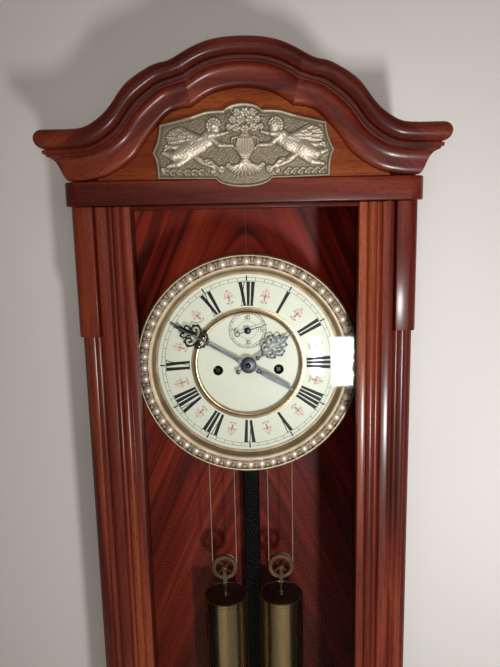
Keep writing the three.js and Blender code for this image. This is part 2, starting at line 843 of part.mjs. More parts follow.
for (const [name, side] of bothSides) {
  const blockOutline = sided(blockPlan(), side);
  const columnOutline = sided(columnPlan(), side);
  add(`corner_block_${name}`, 'mahogany', post(blockOutline, cornerBlock.bottom, head.bottom - fit));
  add(`quarter_column_${name}`, 'mahogany', post(columnOutline, base.top + fit, cornerBlock.bottom - fit));
}

// Base: moulding, bracket and drop finial
function baseSection() {
  const { thick, height } = base;
  const cove = arc(-thick * 0.36, height * 0.02, thick * 0.3, height * 0.16, Math.PI, Math.PI / 2, 3).map(
    (p) => new THREE.Vector2(p.x + thick * 0.3, p.y),
  );
  const torus = arc(-thick * 0.3, height * 0.34, thick * 0.3, height * 0.14, -Math.PI / 2, Math.PI / 2, 5);
  const upper = arc(-thick * 0.36, height * 0.62, thick * 0.2, height * 0.26, 0, Math.PI / 2, 4);
  const lower = points([[-thick, 0]]);
  const top = points([[-thick * 0.36, height], [-thick, height]]);
  return [...lower, ...cove, ...torus, ...upper, ...top];
}

const baseBottom = base.top - base.height;
const baseHalf = base.halfWidth - base.thick + fit;
const baseBoard = block([-baseHalf, baseHalf], [carcase.boardThick + fit, base.depth - base.thick + fit],
  [baseBottom, carcase.floorTop - carcase.floorThick - fit]);
add('base_moulding', 'mahogany', cut(
  unite(wrapMoulding(baseSection(), base.halfWidth, base.depth, baseBottom), baseBoard),
  pinHole(base.top - pivot.reach, base.top + overrun),
));

function bracketSolid() {
  const top = base.top - base.height - fit;
  const steps = 8;
  const plan = points([[-1, 0], [1, 0], [1, 1], [-1, 1]]);
  const rings = Array.from({ length: steps + 1 }, (_, i) => {
    const share = i / steps;
    const narrowing = share + bracket.waveShare * Math.sin(turn * share);
    const half = THREE.MathUtils.lerp(bracket.halfWidth, bracket.endHalf, narrowing);
    const reach = THREE.MathUtils.lerp(bracket.depth, bracket.endDepth, narrowing);
    const z = top - share * bracket.height;
    return plan.map((p) => new THREE.Vector3(p.x * half, -wallGap - p.y * (reach - wallGap), z));
  });
  return loft(rings, plan);
}
add('base_bracket', 'mahogany', bracketSolid());

// Turning of the finial: shares are (down its height, out to its radius)
const finialShares = [
  [0, 0], [0, 0.9], [0.1, 1], [0.16, 0.62], [0.24, 0.5], [0.3, 0.82], [0.42, 1], [0.56, 0.9],
  [0.7, 0.55], [0.78, 0.28], [0.84, 0.34], [0.92, 0.32], [1, 0],
];

function finialSolid() {
  const top = base.top - base.height - bracket.height - fit * 2;
  const { radius, height } = finial;
  const turning = finialShares.map(([down, out]) => [top - down * height, out * radius]);
  return turnedUpright(turning, 0, finial.depth, 14);
}
add('drop_finial', 'mahogany', finialSolid());

// Door: stiles run the full height, rails between them, glass in the rebate
function stilePlan(withRebate) {
  const { outer, opening, depth, back } = door;
  const width = outer - opening;
  const face = (share) => opening + width * share;
  const low = pivot.inset;
  const reed = arc(face(0.37), depth - low * 0.7, width * 0.13, low * 0.7, Math.PI, 0, 6);
  const roll = arc(outer - pivot.inset, depth - pivot.inset, pivot.inset, pivot.inset, Math.PI / 2, 0, 5);
  const inner = points([
    [opening, back + rebate.depth], [opening, depth - low * 0.5], [face(0.2), depth - low * 0.4],
  ]);
  const hollow = points([[face(0.21), depth - low * 0.75]]);
  const groove = points([
    [face(0.52), depth - low * 0.9], [face(0.6), depth - low * 0.8], [face(0.66), depth - low * 0.1],
  ]);
  const rear = withRebate
    ? points([[outer, back], [opening + rebate.width, back], [opening + rebate.width, back + rebate.depth]])
    : points([[outer, back], [opening, back]]);
  return [...inner, ...hollow, ...reed, ...groove, ...roll, ...rear];
}

function stileSolid(side) {
  const stile = post(sided(stilePlan(true), side), door.bottom, door.top);
  if (side > 0) {
    return cut(stile,
      pinHole(door.top - pivot.reach, door.top + overrun),
      pinHole(door.bottom - overrun, door.bottom + pivot.reach));
  }
  const radius = knob.spindle + fit;
  return cut(stile, bar(door.back - overrun, door.depth + overrun, radius, knob.x, knob.z, 12));
}

const railScale = rail.bottomHeight / (door.outer - door.opening);

function bottomRail() {
  const low = door.bottom;
  const outline = stilePlan(true).map((p) => new THREE.Vector2(p.y, low + (door.outer - p.x) * railScale));
  return beam(outline, -door.opening + fit, door.opening - fit);
}

function topRail() {
  const low = door.top - rail.topHeight;
  const front = door.depth - rail.topSetback;
  const seat = door.back + rebate.depth;
  const outline = points([
    [seat, low], [front - fit, low], [front, low + fit], [front, door.top], [door.back, door.top],
  ]);
  outline.push(...points([[door.back, low + rail.topHeight / 2], [seat, low + rail.topHeight / 2]]));
  return beam(outline, -door.opening + fit, door.opening - fit);
}

for (const [name, side] of bothSides) add(`door_stile_${name}`, 'mahogany', stileSolid(side));
add('door_top_rail', 'mahogany', topRail());
add('door_bottom_rail', 'mahogany', bottomRail());
const paneHalf = door.opening + rebate.width - fit;
const paneRear = door.back + rebate.depth - fit - glass.thick;
const paneBottom = door.bottom + rail.bottomHeight - rebate.width * railScale + fit;
add('door_glass', 'clear', block([-paneHalf, paneHalf], [paneRear, paneRear + glass.thick],
  [paneBottom, door.top - rail.topHeight / 2 - fit]));

function pivotPin(z0, z1, washerFrom) {
  const { radius, washer, washerThick } = pivot;
  const washerTo = washerFrom + washerThick;
  return turnedUpright([
    [z0, 0], [z0, radius], [washerFrom, radius], [washerFrom, washer],
    [washerTo, washer], [washerTo, radius], [z1, radius], [z1, 0],
  ], hinge.x, hinge.depth, 12);
}
const pinEnd = pivot.reach - fit;
const upperWasher = head.bottom - (head.bottom - door.top) / 2 - pivot.washerThick / 4;
add('door_pivot_upper', 'brass', turnedUpright([
  [door.top - pinEnd, 0], [door.top - pinEnd, pivot.radius], [upperWasher, pivot.radius],
  [head.bottom + pinEnd, pivot.radius], [head.bottom + pinEnd, 0],
], hinge.x, hinge.depth, 12));
add('door_pivot_lower', 'brass', pivotPin(base.top - pinEnd, door.bottom + pinEnd, base.top + fit));

// Turning of the knob: shares are (along its reach, out to its radius)
const knobShares = [[0.2, 0.5], [0.4, 0.95], [0.6, 1], [0.8, 0.8], [0.9, 0.4], [0.9, 0]];

function knobSolid() {
  const { x, z, spindle, stand, reach } = knob;
  const front = door.depth + stand;
  const turning = knobShares.map(([along, out]) => [front + along * reach, out * knob.head]);
  const pairs = [[knob.tongueDepth, 0], [knob.tongueDepth, spindle], [front, spindle], ...turning];
  const half = knob.tongueWidth / 2;
  const thick = [knob.tongueDepth, knob.tongueDepth + knob.tongueThick];
  const tongue = block([x - half, x + half], thick, [z - knob.tongueReach, z]);
  return unite(turnedForward(pairs, x, z, 14), tongue);
}
add('door_knob', 'brass', knobSolid());

// Movement frame
function framePlateHoles(front) {
  const big = (front ? barrel.shaft : arbor.pivotRadius * 2) + fit * 2;
  const small = arbor.pivotRadius + fit * 1.5;
  const wide = arbor.radius + fit * 2;
  const holes = [
    circle(timeBarrelAt.x, timeBarrelAt.z, big, 8),
    circle(strikeBarrelAt.x, strikeBarrelAt.z, big, 8),
    circle(0, 0, front ? wide : small, 6),
    circle(escapeAt.x, escapeAt.z, front ? wide : small, 6),
    circle(anchorAt.x, anchorAt.z, front ? small : wide, 6),
    circle(hammerAt.x, hammerAt.z, front ? small : wide, 6),
  ];
  for (const at of [thirdAt, pinWheelAt, lockAt, flyAt]) holes.push(circle(at.x, at.z, small, 6));
  return holes;
}

const plateOutline = points([
  [-plate.halfWidth, plate.bottom], [plate.halfWidth, plate.bottom],
  [plate.halfWidth, plate.top], [-plate.halfWidth, plate.top],
]);
const pillarPlaces = [-1, 1].flatMap((side) => [
  { x: side * pillar.upperX, z: pillar.upperZ },
  { x: side * pillar.lowerX, z: pillar.lowerZ },
]);

function backPlateSolid() {
  const sheet = slab(plateOutline, plate.back, plate.thick, framePlateHoles(false));
  const nose = plate.face + pillar.pinReach;
  const pillars = pillarPlaces.map(({ x, z }) => turnedForward([
    [plate.inside - fit, 0], [plate.inside - fit, pillar.radius], [plate.front - fit, pillar.radius],
    [plate.front - fit, pillar.pin], [nose, pillar.pin], [nose, 0],
  ], x, z, 8));
  return unite(sheet, ...pillars);
}

function frontPlateSolid() {
  const pinHoles = pillarPlaces.map(({ x, z }) => circle(x, z, pillar.pin + fit * 2, 6));
  const sheet = slab(plateOutline, plate.front, plate.thick, [...framePlateHoles(true), ...pinHoles]);
  const stud = arbor.pivotRadius;
  const front = motion.rear + motion.step * 2 + arbor.play;
  const bearing = bar(plate.face - fit, front, stud, minuteWheelAt.x, minuteWheelAt.z, 8);
  return unite(sheet, bearing);
}

function movementBracket() {
  const rear = carcase.boardThick + fit;
  const { thick, halfWidth, armThick, bottom, top } = frameIron;
  const { studHalf, studDepth, studTop, studBottom, slotHalf, slotDepth } = frameIron;
  const web = block([-halfWidth, halfWidth], [rear, rear + thick], [bottom, top]);
  const arms = [-1, 1].map((side) => block([side * (halfWidth - armThick), side * halfWidth],
    [rear, plate.back - fit], [bottom, top]));
  const stud = block([-studHalf, studHalf], [rear, studDepth], [studBottom, studTop]);
  const slotRise = [studBottom - overrun, studTop + overrun];
  const slot = block([-slotHalf, slotHalf], [slotDepth, studDepth + overrun], slotRise);
  return cut(unite(web, ...arms, stud), slot);
}

add('back_plate', 'brass', backPlateSolid());
add('front_plate', 'brass', frontPlateSolid());
add('movement_bracket', 'iron', movementBracket());

// Barrels and great wheels
function barrelSolid(at) {
  const { drum, flange, flangeThick, shaft, drumRear, drumFront, grooves, grooveDepth } = barrel;
  const pivotRadius = arbor.pivotRadius * 2;
  const tail = plate.back + arbor.play;
  const inside = plate.inside + arbor.play;
  const pairs = [[tail, 0], [tail, pivotRadius], [inside, pivotRadius], [inside, shaft], [drumRear, shaft]];
  const pace = (drumFront - flangeThick - drumRear) / grooves;
  for (let i = 0; i < grooves; i += 1) {
    pairs.push([drumRear + i * pace, drum], [drumRear + (i + 0.5) * pace, drum - grooveDepth]);
  }
  pairs.push([drumFront - flangeThick, drum], [drumFront - flangeThick, flange], [drumFront, flange]);
  pairs.push([drumFront, shaft], [plate.face, shaft], [plate.face, shaft * 0.8]);
  const neck = plate.face + arbor.play;
  pairs.push([neck, shaft * 0.8], [neck, 0]);
  const square = block([-winding.square / 2, winding.square / 2], [plate.face, winding.squareEnd],
    [-winding.square / 2, winding.square / 2]).translate(at.x, 0, at.z);
  return unite(turnedForward(pairs, at.x, at.z, 12), square);
}

function greatWheelSolid(teeth, module, at, faced) {
  const wheel = slab(wheelOutline(teeth, module, faced, at), barrel.wheelRear, toothed.thick);
  const radius = barrel.shaft + fit;
  const [rear, front] = [barrel.wheelRear - overrun, barrel.wheelRear + toothed.thick + overrun];
  return cut(wheel,
    bar(rear, front, radius, at.x, at.z, 12));
}

add('time_barrel', 'brass', barrelSolid(timeBarrelAt));
add('strike_barrel', 'brass', barrelSolid(strikeBarrelAt));
add('time_great_wheel', 'brass',
  greatWheelSolid(barrel.teeth, greatModule, timeBarrelAt, bearingTo(timeBarrelAt, centreAt)));
add('strike_great_wheel', 'brass',
  greatWheelSolid(striking.great, strikeModule, strikeBarrelAt, bearingTo(strikeBarrelAt, pinWheelAt)));

// Going train
function centreWheelSolid() {
  const leaves = pinion(gear.leaves, greatModule, bearingTo(centreAt, timeBarrelAt), centreAt,
    barrel.wheelRear - toothed.thick, arbor.pinionLength);
  const faced = bearingTo(centreAt, thirdAt);
  const wheel = toothedWheel(centre.teeth, centreModule, faced, centreAt, centre.wheelRear);
  const cannonFaced = bearingTo(centreAt, minuteWheelAt) + Math.PI / motion.cannon;
  const cannonOutline = wheelOutline(motion.cannon, minuteModule, cannonFaced, centreAt);
  const cannon = slab(cannonOutline, motion.rear, toothed.thick);
  const tail = plate.back + arbor.play;
  const inside = plate.inside + arbor.play;
  const { arborFront, nut, nutRear, nutFace } = centre;
  const pairs = [[tail, 0], [tail, arbor.pivotRadius], [inside, arbor.pivotRadius], [inside, arbor.radius]];
  pairs.push([nutRear, arbor.radius], [nutRear, nut], [arborFront, nut], [nutFace, arbor.radius], [nutFace, 0]);
  return unite(turnedForward(pairs, 0, 0, 8), leaves, wheel, cannon);
}

function thirdWheelSolid() {
  const leaves = pinion(gear.leaves, centreModule, bearingTo(thirdAt, centreAt), thirdAt, third.pinionRear);
  const wheel = toothedWheel(third.teeth, thirdModule, bearingTo(thirdAt, escapeAt), thirdAt, third.wheelRear);
  return unite(platedArbor(thirdAt), leaves, wheel);
}

function escapeWheelSolid() {
  const { teeth, radius, toothHeight, wheelRear, pinionRear, front } = escape;
  const outline = [];
  for (let i = 0; i < teeth; i += 1) {
    const angle = (turn * i) / teeth;
    const lean = turn / teeth / 3;
    for (const [reach, at] of [[radius - toothHeight, angle], [radius, angle + lean]]) {
      outline.push(new THREE.Vector2(escapeAt.x + reach * Math.cos(at), escapeAt.z + reach * Math.sin(at)));
    }
  }
  const wheel = slab(outline, wheelRear, toothed.thick, crossings(radius - toothHeight * 1.7, escapeAt, 4));
  const leaves = pinion(gear.leaves, thirdModule, bearingTo(escapeAt, thirdAt), escapeAt, pinionRear);
  const tail = plate.back + arbor.play;
  const inside = plate.inside + arbor.play;
  const slim = arbor.pivotRadius;
  const pairs = [[tail, 0], [tail, slim], [inside, slim], [inside, arbor.radius]];
  pairs.push([plate.face, arbor.radius], [plate.face, slim], [front, slim], [front, 0]);
  return unite(turnedForward(pairs, escapeAt.x, escapeAt.z, 6), wheel, leaves);
}

add('centre_wheel', 'brass', centreWheelSolid());
add('third_wheel', 'brass', thirdWheelSolid());
add('escape_wheel', 'brass', escapeWheelSolid());

// Motion work between the front plate and the dial
function minuteWheelSolid() {
  const at = minuteWheelAt;
  const rear = motion.rear;
  const outline = wheelOutline(motion.wheel, minuteModule, bearingTo(at, centreAt), at);
  const wheel = slab(outline, rear, toothed.thick);
  const leavesFaced = bearingTo(at, centreAt) + Math.PI / motion.pinion;
  const leaves = slab(wheelOutline(motion.pinion, hourModule, leavesFaced, at),
    rear + toothed.thick - fit, motion.step * 2 - toothed.thick);
  const bore = arbor.pivotRadius + fit;
  const front = rear + motion.step * 3;
  return cut(unite(wheel, leaves),
    bar(rear - overrun, front, bore, at.x, at.z, 8));
}

function hourWheelSolid() {
  const rear = motion.rear + motion.step;
  const outline = wheelOutline(motion.hour, hourModule, bearingTo(centreAt, minuteWheelAt), centreAt);
  const wheel = slab(outline, rear, toothed.thick);
  const pipe = bar(rear, motion.pipeFront, motion.pipe, 0, 0, 14);
  const [back, front] = [rear - overrun, motion.pipeFront + overrun];
  return cut(unite(wheel, pipe),
    bar(back, front, motion.pipeBore, 0, 0, 14));
}
add('minute_wheel', 'brass', minuteWheelSolid());
add('hour_wheel', 'brass', hourWheelSolid());

// Anchor with its crutch
function anchorSolid() {
  const { hub, reach, band, spread, thick, rear, steps, crutchDepth, crutchThick, crutchWidth } = anchor;
  const up = Math.PI / 2;
  const pallets = slab([
    ...arc(escapeAt.x, escapeAt.z, reach + band, reach + band, up - spread, up + spread, steps),
    ...arc(escapeAt.x, escapeAt.z, reach, reach, up + spread, up - spread, steps),
  ], rear, thick);
  const boss = bar(rear, rear + thick, hub, 0, anchor.z, 10);
  const nose = plate.face - arbor.play;
  const pairs = [[crutchDepth, 0], [crutchDepth, arbor.radius], [plate.front - arbor.play, arbor.radius]];
  pairs.push([plate.front - arbor.play, arbor.pivotRadius], [nose, arbor.pivotRadius], [nose, 0]);
  const crutchFront = crutchDepth + crutchThick;
  const forkHalf = pendulum.rodHalf + anchor.forkGap + anchor.forkThick;
  const crutch = [crutchDepth, crutchFront];
  const stem = block([-crutchWidth / 2, crutchWidth / 2], crutch, [anchor.forkZ, anchor.z + arbor.radius]);
  const yoke = block([-forkHalf, forkHalf], crutch, [anchor.forkZ, anchor.forkZ + anchor.forkHeight]);
  const prongs = [-1, 1].map((side) => block([side * (forkHalf - anchor.forkThick), side * forkHalf],
    [anchor.forkReach, crutchFront], [anchor.forkZ, anchor.forkZ + anchor.forkHeight]));
  return unite(turnedForward(pairs, 0, anchor.z, 8), pallets, boss, stem, yoke, ...prongs);
}
add('anchor', 'steel', anchorSolid());

// Striking train
function pinWheelSolid() {
  const at = pinWheelAt;
  const rear = striking.pinWheelRear;
  const wheel = toothedWheel(striking.pinWheel, striking.pinModule, bearingTo(at, lockAt), at, rear);
  const leavesRear = barrel.wheelRear - toothed.thick;
  const leaves = pinion(gear.leaves, strikeModule, bearingTo(at, strikeBarrelAt), at, leavesRear);
  const front = rear + toothed.thick + striking.pinReach;
  const pins = Array.from({ length: striking.pins }, (_, i) => {
    const place = stepAway(at, (turn * (i + 0.5)) / striking.pins, striking.pinCircle);
    return slab(circle(place.x, place.z, striking.pinRadius, 4), rear + fit, front - rear - fit);
  });
  return unite(platedArbor(at), wheel, leaves, ...pins);
}

function lockWheelSolid() {
  const { lockWheel, lockModule, lockRear } = striking;
  const wheel = toothedWheel(lockWheel, lockModule, bearingTo(lockAt, flyAt), lockAt, lockRear);
  const leaves = pinion(gear.leaves, striking.pinModule, bearingTo(lockAt, pinWheelAt), lockAt,
    striking.pinWheelRear - toothed.thick);
  return unite(platedArbor(lockAt), wheel, leaves);
}

function flySolid() {
  const leavesRear = striking.lockRear - toothed.thick;
  const leaves = pinion(gear.leaves, striking.lockModule, bearingTo(flyAt, lockAt), flyAt, leavesRear);
  const vane = block([-fly.half, fly.half], [fly.rear, fly.front], [-fly.thick / 2, fly.thick / 2])
    .translate(flyAt.x, 0, flyAt.z);
  return unite(platedArbor(flyAt), leaves, vane);
}

add('pin_wheel', 'brass', pinWheelSolid());
add('locking_wheel', 'brass', lockWheelSolid());
add('fly', 'brass', flySolid());

function hammerSolid() {
  const { x, z, tailWidth, tailRear, depth, headX, headLength, headRadius, wire, hub } = hammer;
  const nose = plate.face - arbor.play;
  const toPins = Math.hypot(pinWheelAt.x - x, pinWheelAt.z - z) - striking.pinCircle;
  const tail = toPins - striking.pinRadius - fit * 2;
  const tailHalf = tailWidth / 2;
  const pairs = [[depth - wire, 0], [depth - wire, arbor.radius], [plate.front - arbor.play, arbor.radius]];
  pairs.push([plate.front - arbor.play, arbor.pivotRadius], [nose, arbor.pivotRadius], [nose, 0]);
  const lever = slab(points([[0, -tailHalf], [tail, -tailHalf], [tail, tailHalf], [0, tailHalf]]),
    tailRear, toothed.thick).rotateY(-bearingTo(hammerAt, pinWheelAt)).translate(x, 0, z);
  const boss = bar(depth - wire, depth + wire, hub, x, z, 10);
  const gongDepth = gong.depth;
  const headMiddle = headX - headLength / 2;
  const route = new THREE.CatmullRomCurve3([
    new THREE.Vector3(x, -depth, z),
    new THREE.Vector3(THREE.MathUtils.lerp(x, headMiddle, 0.4), -depth, THREE.MathUtils.lerp(z, gong.z, 0.5)),
    new THREE.Vector3(THREE.MathUtils.lerp(x, headMiddle, 0.8), -THREE.MathUtils.lerp(depth, gongDepth, 0.35),
      THREE.MathUtils.lerp(z, gong.z, 0.85)),
    new THREE.Vector3(headMiddle, -gongDepth, gong.z),
  ]);
  const arm = new THREE.ExtrudeGeometry(new THREE.Shape(circle(0, 0, wire, 4)),
    { extrudePath: route, steps: 5, bevelEnabled: false });
  const turningShares = [[-0.5, 0], [-0.5, 0.8], [-0.4, 1], [0.3, 1], [0.5, 0.6], [0.5, 0]];
  const head = new THREE.LatheGeometry(turningShares.map(
    ([along, out]) => new THREE.Vector2(out * headRadius, along * headLength),
  ), 10).rotateZ(-Math.PI / 2).translate(headMiddle, -gongDepth, gong.z);
  return unite(turnedForward(pairs, x, z, 8), lever, boss, arm, head);
}
add('hammer', 'steel', hammerSolid());

// Coiled gong on its block
function gongCoil() {
  const total = gong.turns * gong.steps;
  const route = Array.from({ length: total + 1 }, (_, i) => {
    const angle = (turn * i) / gong.steps;
    const radius = gong.inner + (gong.pitch * i) / gong.steps;
    return new THREE.Vector2(radius * Math.cos(angle), gong.z + radius * Math.sin(angle));
  });
  return flatTube(route, gong.wire, gong.sides, gong.depth);
}

function gongBlock() {
  const rear = carcase.boardThick + fit;
  const { foot, footDepth, post: stand, postDepth } = gong;
  const body = turnedForward([
    [rear, 0], [rear, foot], [footDepth, foot], [footDepth, stand], [postDepth, stand], [postDepth, 0],
  ], 0, gong.z, 14);
  const lugRise = [gong.z - gong.lug, gong.z - fit];
  const lug = block([0, gong.inner + gong.wire * 2], [footDepth - fit, postDepth], lugRise);
  return unite(body, lug);
}
console.log('gong: least gap between turns', (gong.pitch - gong.wire * 2).toFixed(2), 'mm');
add('gong_coil', 'blued', gongCoil());
add('gong_block', 'iron', gongBlock());

// Dial
function dialPlateSolid() {
  const holes = [circle(0, 0, motion.pipe + fit * 2, 10), circle(0, seconds.z, seconds.hole, 8)];
  for (const side of [-1, 1]) holes.push(circle(side * winding.x, winding.z, winding.hole, 10));
  const disc = slab(circle(0, 0, dial.radius, chapter.segments), dial.rear, dial.baseThick, holes);
  const feet = [-1, 1].flatMap((side) => [dial.footUpper, dial.footLower].map((z) => turnedForward([
    [plate.face + fit, 0], [plate.face + fit, dial.foot], [dial.rear + fit, dial.foot], [dial.rear + fit, 0],
  ], side * dial.footX, z, 6)));
  return unite(disc, ...feet);
}

function ring(pairs, segments) {
  return turnedForward([...pairs, pairs[0]], 0, 0, segments);
}

function innerRingSolid() {
  const { inner, outer, rise, lip } = innerRing;
  const seat = dial.baseFace + fit;
  const over = dial.face + fit;
  const inlet = chapter.inner - fit;
  return ring([
    [seat, inner], [over + rise, inner + lip], [over + rise, outer - lip * 1.4], [over, outer],
    [over, inlet], [seat, inlet],
  ], 36);
}

function bezelSolid() {
  const { sight, outer, rise, beadCircle, beadRadius, rear } = bezel;
  const over = dial.face + fit;
  const seatInner = beadCircle - beadRadius;
  const [wide, high] = [seatInner - sight, rise - 1];
  const cove = arc(seatInner, over + 1, wide, high, Math.PI, Math.PI / 2, 3).map((p) => [p.y, p.x]);
  const crown = over + rise;
  const [beadWide, beadHigh] = [beadRadius * 0.9, beadRadius * 0.8];
  const ridge = arc(beadCircle, crown, beadWide, beadHigh, Math.PI, 0, 4).map((p) => [p.y, p.x]);
  return ring([
    [over, sight], [over + 1, sight], ...cove.slice(1), ...ridge, [crown, outer - beadRadius * 0.3],
    [crown - 1, outer], [rear, outer], [rear, outer - beadRadius * 0.5],
    [dial.baseFace + fit, outer - beadRadius * 0.5], [dial.baseFace + fit, chapter.outer + fit],
    [over, chapter.outer + fit],
  ], chapter.segments);
}

add('dial_plate', 'enamel', dialPlateSolid());
const chapterOutline = circle(0, 0, chapter.outer, chapter.segments);
add('chapter_ring', 'enamel', slab(chapterOutline, dial.baseFace + fit, dial.enamelThick,
  [circle(0, 0, chapter.inner, 32)]));
add('dial_inner_ring', 'brass', innerRingSolid());
add('bezel', 'brass', bezelSolid());

// Hands, drawn upright and then turned clockwise to their bearings
function annulus(x, z, size, width, rear, thick, steps) {
  return slab(circle(x, z, size, steps), rear, thick, [circle(x, z, size - width, steps)]);
}

function setHand(geometry, bearing, at, bore, rear) {
  const radius = bore + fit;
  const [back, face] = [rear - overrun, rear + overrun];
  const hole = bar(back, face, radius, 0, 0, 12);
  return cut(geometry, hole).rotateY(THREE.MathUtils.degToRad(bearing)).translate(at.x, 0, at.z);
}

function scrolledHand({ length, tail, scrollFrom, scrollSize, bearing, rear }, bore) {
  const { hub, thick, stem, scroll, steps } = hands;
  const scrollTo = scrollFrom + scrollSize * 4.6;
  const outline = points([
    [stem * 0.6, 0], [stem * 0.4, scrollFrom], [stem * 0.3, scrollTo], [stem * 0.15, length],
    [-stem * 0.15, length], [-stem * 0.3, scrollTo], [-stem * 0.4, scrollFrom], [-stem * 0.6, 0],
    [-stem * 0.45, -tail * 0.7], [-stem * 0.9, -tail], [stem * 0.9, -tail], [stem * 0.45, -tail * 0.7],
  ]);
  const blade = slab(outline, rear, thick);
  const disc = slab(circle(0, 0, hub, 16), rear, thick);
  const size = scrollSize;
  const rings = [-1, 1].map((side) => {
    const x = side * size * 0.85;
    return annulus(x, scrollFrom + size, size, scroll, rear, thick, steps);
  });
  const crest = annulus(0, scrollFrom + size * 2.6, size * 0.9, scroll, rear, thick, steps);
  return setHand(unite(blade, disc, ...rings, crest), bearing, centreAt, bore, rear);
}

function secondsHandSolid() {
  const { length, tail, ring: size, bearing, rear, thick, stem } = secondsHand;
  const [foot, tip] = [stem * 0.5, stem * 0.2];
  const outline = points([[foot, -tail], [tip, length], [-tip, length], [-foot, -tail]]);
  const blade = slab(outline, rear, thick);
  const hub = slab(circle(0, 0, size, 10), rear, thick);
  const counter = annulus(0, -tail, size, size * 0.4, rear, thick, 10);
  return setHand(unite(blade, hub, counter), bearing, escapeAt, arbor.pivotRadius, rear);
}

add('minute_hand', 'steel', scrolledHand(minuteHand, arbor.radius));
add('hour_hand', 'steel', scrolledHand(hourHand, motion.pipe));
add('seconds_hand', 'blued', secondsHandSolid());

// Pendulum: spring and rod, bob, rating nut
const rodFront = pendulum.depth + pendulum.rodThick / 2;
const rodRear = pendulum.depth - pendulum.rodThick / 2;
const rodEnd = bob.z - bob.radius + rating.travel * 1.5;

function pendulumRod() {
  const { depth, rodHalf, rodTop, spring, springThick, pin, pinHalf } = pendulum;
  const bevel = pendulum.rodThick / 5;
  const plan = points([
    [-rodHalf, rodRear + bevel], [-rodHalf + bevel, rodRear],
    [rodHalf - bevel, rodRear], [rodHalf, rodRear + bevel],
    [rodHalf, rodFront - bevel], [rodHalf - bevel, rodFront],
    [-rodHalf + bevel, rodFront], [-rodHalf, rodFront - bevel],
  ]);
  const rod = post(plan, rodEnd, rodTop);
  const pinZ = frameIron.studTop + fit * 1.6 + pin;
  const springDepths = [depth - springThick / 2, depth + springThick / 2];
  const strip = block([-spring, spring], springDepths, [rodTop - overrun, pinZ]);
  const cross = new THREE.CylinderGeometry(pin, pin, pinHalf * 2, 8)
    .rotateZ(Math.PI / 2).translate(0, -depth, pinZ);
  const thread = turnedUpright([[rodEnd - rating.threadReach, 0], [rodEnd - rating.threadReach, rating.thread],
    [rodEnd + overrun, rating.thread], [rodEnd + overrun, 0]], 0, depth, 8);
  return unite(rod, strip, cross, thread);
}

function bobSolid() {
  const { radius, thick, edge, segments, steps, z } = bob;
  const half = thick / 2;
  const edgeDepth = pendulum.depth + edge / 2;
  const face = arc(0, 0, radius, half - edge / 2, 0, Math.PI / 2, steps).map((p) => [edgeDepth + p.y, p.x]);
  const rear = face.map(([depth, out]) => [2 * pendulum.depth - depth, out]).reverse();
  const lens = turnedForward([...rear, ...face], 0, z, segments);
  const channel = block([-pendulum.rodHalf - fit, pendulum.rodHalf + fit], [rodRear - fit, rodFront + fit],
    [z - radius - overrun, z + radius + overrun]);
  return cut(lens, channel);
}

function ratingNut() {
  const top = bob.z - bob.radius - fit;
  const { radius, height, thread } = rating;
  const nutTop = top - fit * 4;
  const rimmed = [[nutTop - height, 0], [nutTop - height, radius * 0.7], [nutTop - height * 0.7, radius]];
  rimmed.push([nutTop - height * 0.3, radius], [nutTop, radius * 0.8], [nutTop, 0]);
  const bore = thread + fit;
  return cut(turnedUpright(rimmed, 0, pendulum.depth, 12),
    turnedUpright([[nutTop - height - overrun, 0], [nutTop - height - overrun, bore], [nutTop + overrun, bore],
      [nutTop + overrun, 0]], 0, pendulum.depth, 8));
}
add('pendulum_rod', 'ebony', pendulumRod());
add('pendulum_bob', 'brass', bobSolid());
add('rating_nut', 'brass', ratingNut());

// Weights with their stirrups, pulleys and lines
function weightSolid(x) {
  const { radius, top, length, cap, rim, axle, cheek, cheekHalf, forkGap, forkBottom, neck } = weight;
  const low = top - length;
  const pairs = [
    [low, 0], [low, radius - rim], [low + rim, radius], [top - cap, radius], [top - cap, radius - rim],
  ];
  pairs.push([top, radius - rim * 2], [top, neck], [forkBottom - neck, neck], [forkBottom - neck, 0]);
  const body = turnedUpright(pairs, x, pulley.depth, 20);
  const inner = pulley.width / 2 + forkGap;
  const outer = inner + cheek;
  const yoke = block([x - cheekHalf, x + cheekHalf], [pulley.depth - outer, pulley.depth + outer],
    [forkBottom - neck * 2, forkBottom - neck / 2]);
  const cheeks = [-1, 1].map((side) => block([x - cheekHalf, x + cheekHalf],
    [pulley.depth + side * inner, pulley.depth + side * outer], [forkBottom - neck * 2, pulley.z + cheekHalf]));
  const [rear, front] = [pulley.depth - outer, pulley.depth + outer];
  const pin = bar(rear, front, axle, x, pulley.z, 8);
  return unite(body, yoke, ...cheeks, pin);
}

function pulleySolid(x) {
  const { radius, groove, width, rimInner, web, hub, bore, arms, armWidth, z, depth, segments } = pulley;
  const half = width / 2;
  const rim = turnedForward([
    [depth - half, rimInner], [depth + half, rimInner], [depth + half, radius],
    [depth, groove], [depth - half, radius],
    [depth - half, rimInner],
  ], x, z, segments);
  const boss = bar(depth - half, depth + half, hub, x, z, 10);
  const spokes = Array.from({ length: arms / 2 }, (_, i) => block([-rimInner - fit, rimInner + fit],
    [depth - web / 2, depth + web / 2], [-armWidth / 2, armWidth / 2])
    .rotateY((Math.PI * (i + 0.25)) / (arms / 2)).translate(x, 0, z));
  const [rear, front] = [depth - half - overrun, depth + half + overrun];
  return cut(unite(rim, boss, ...spokes), bar(rear, front, bore, x, z, 10));
}

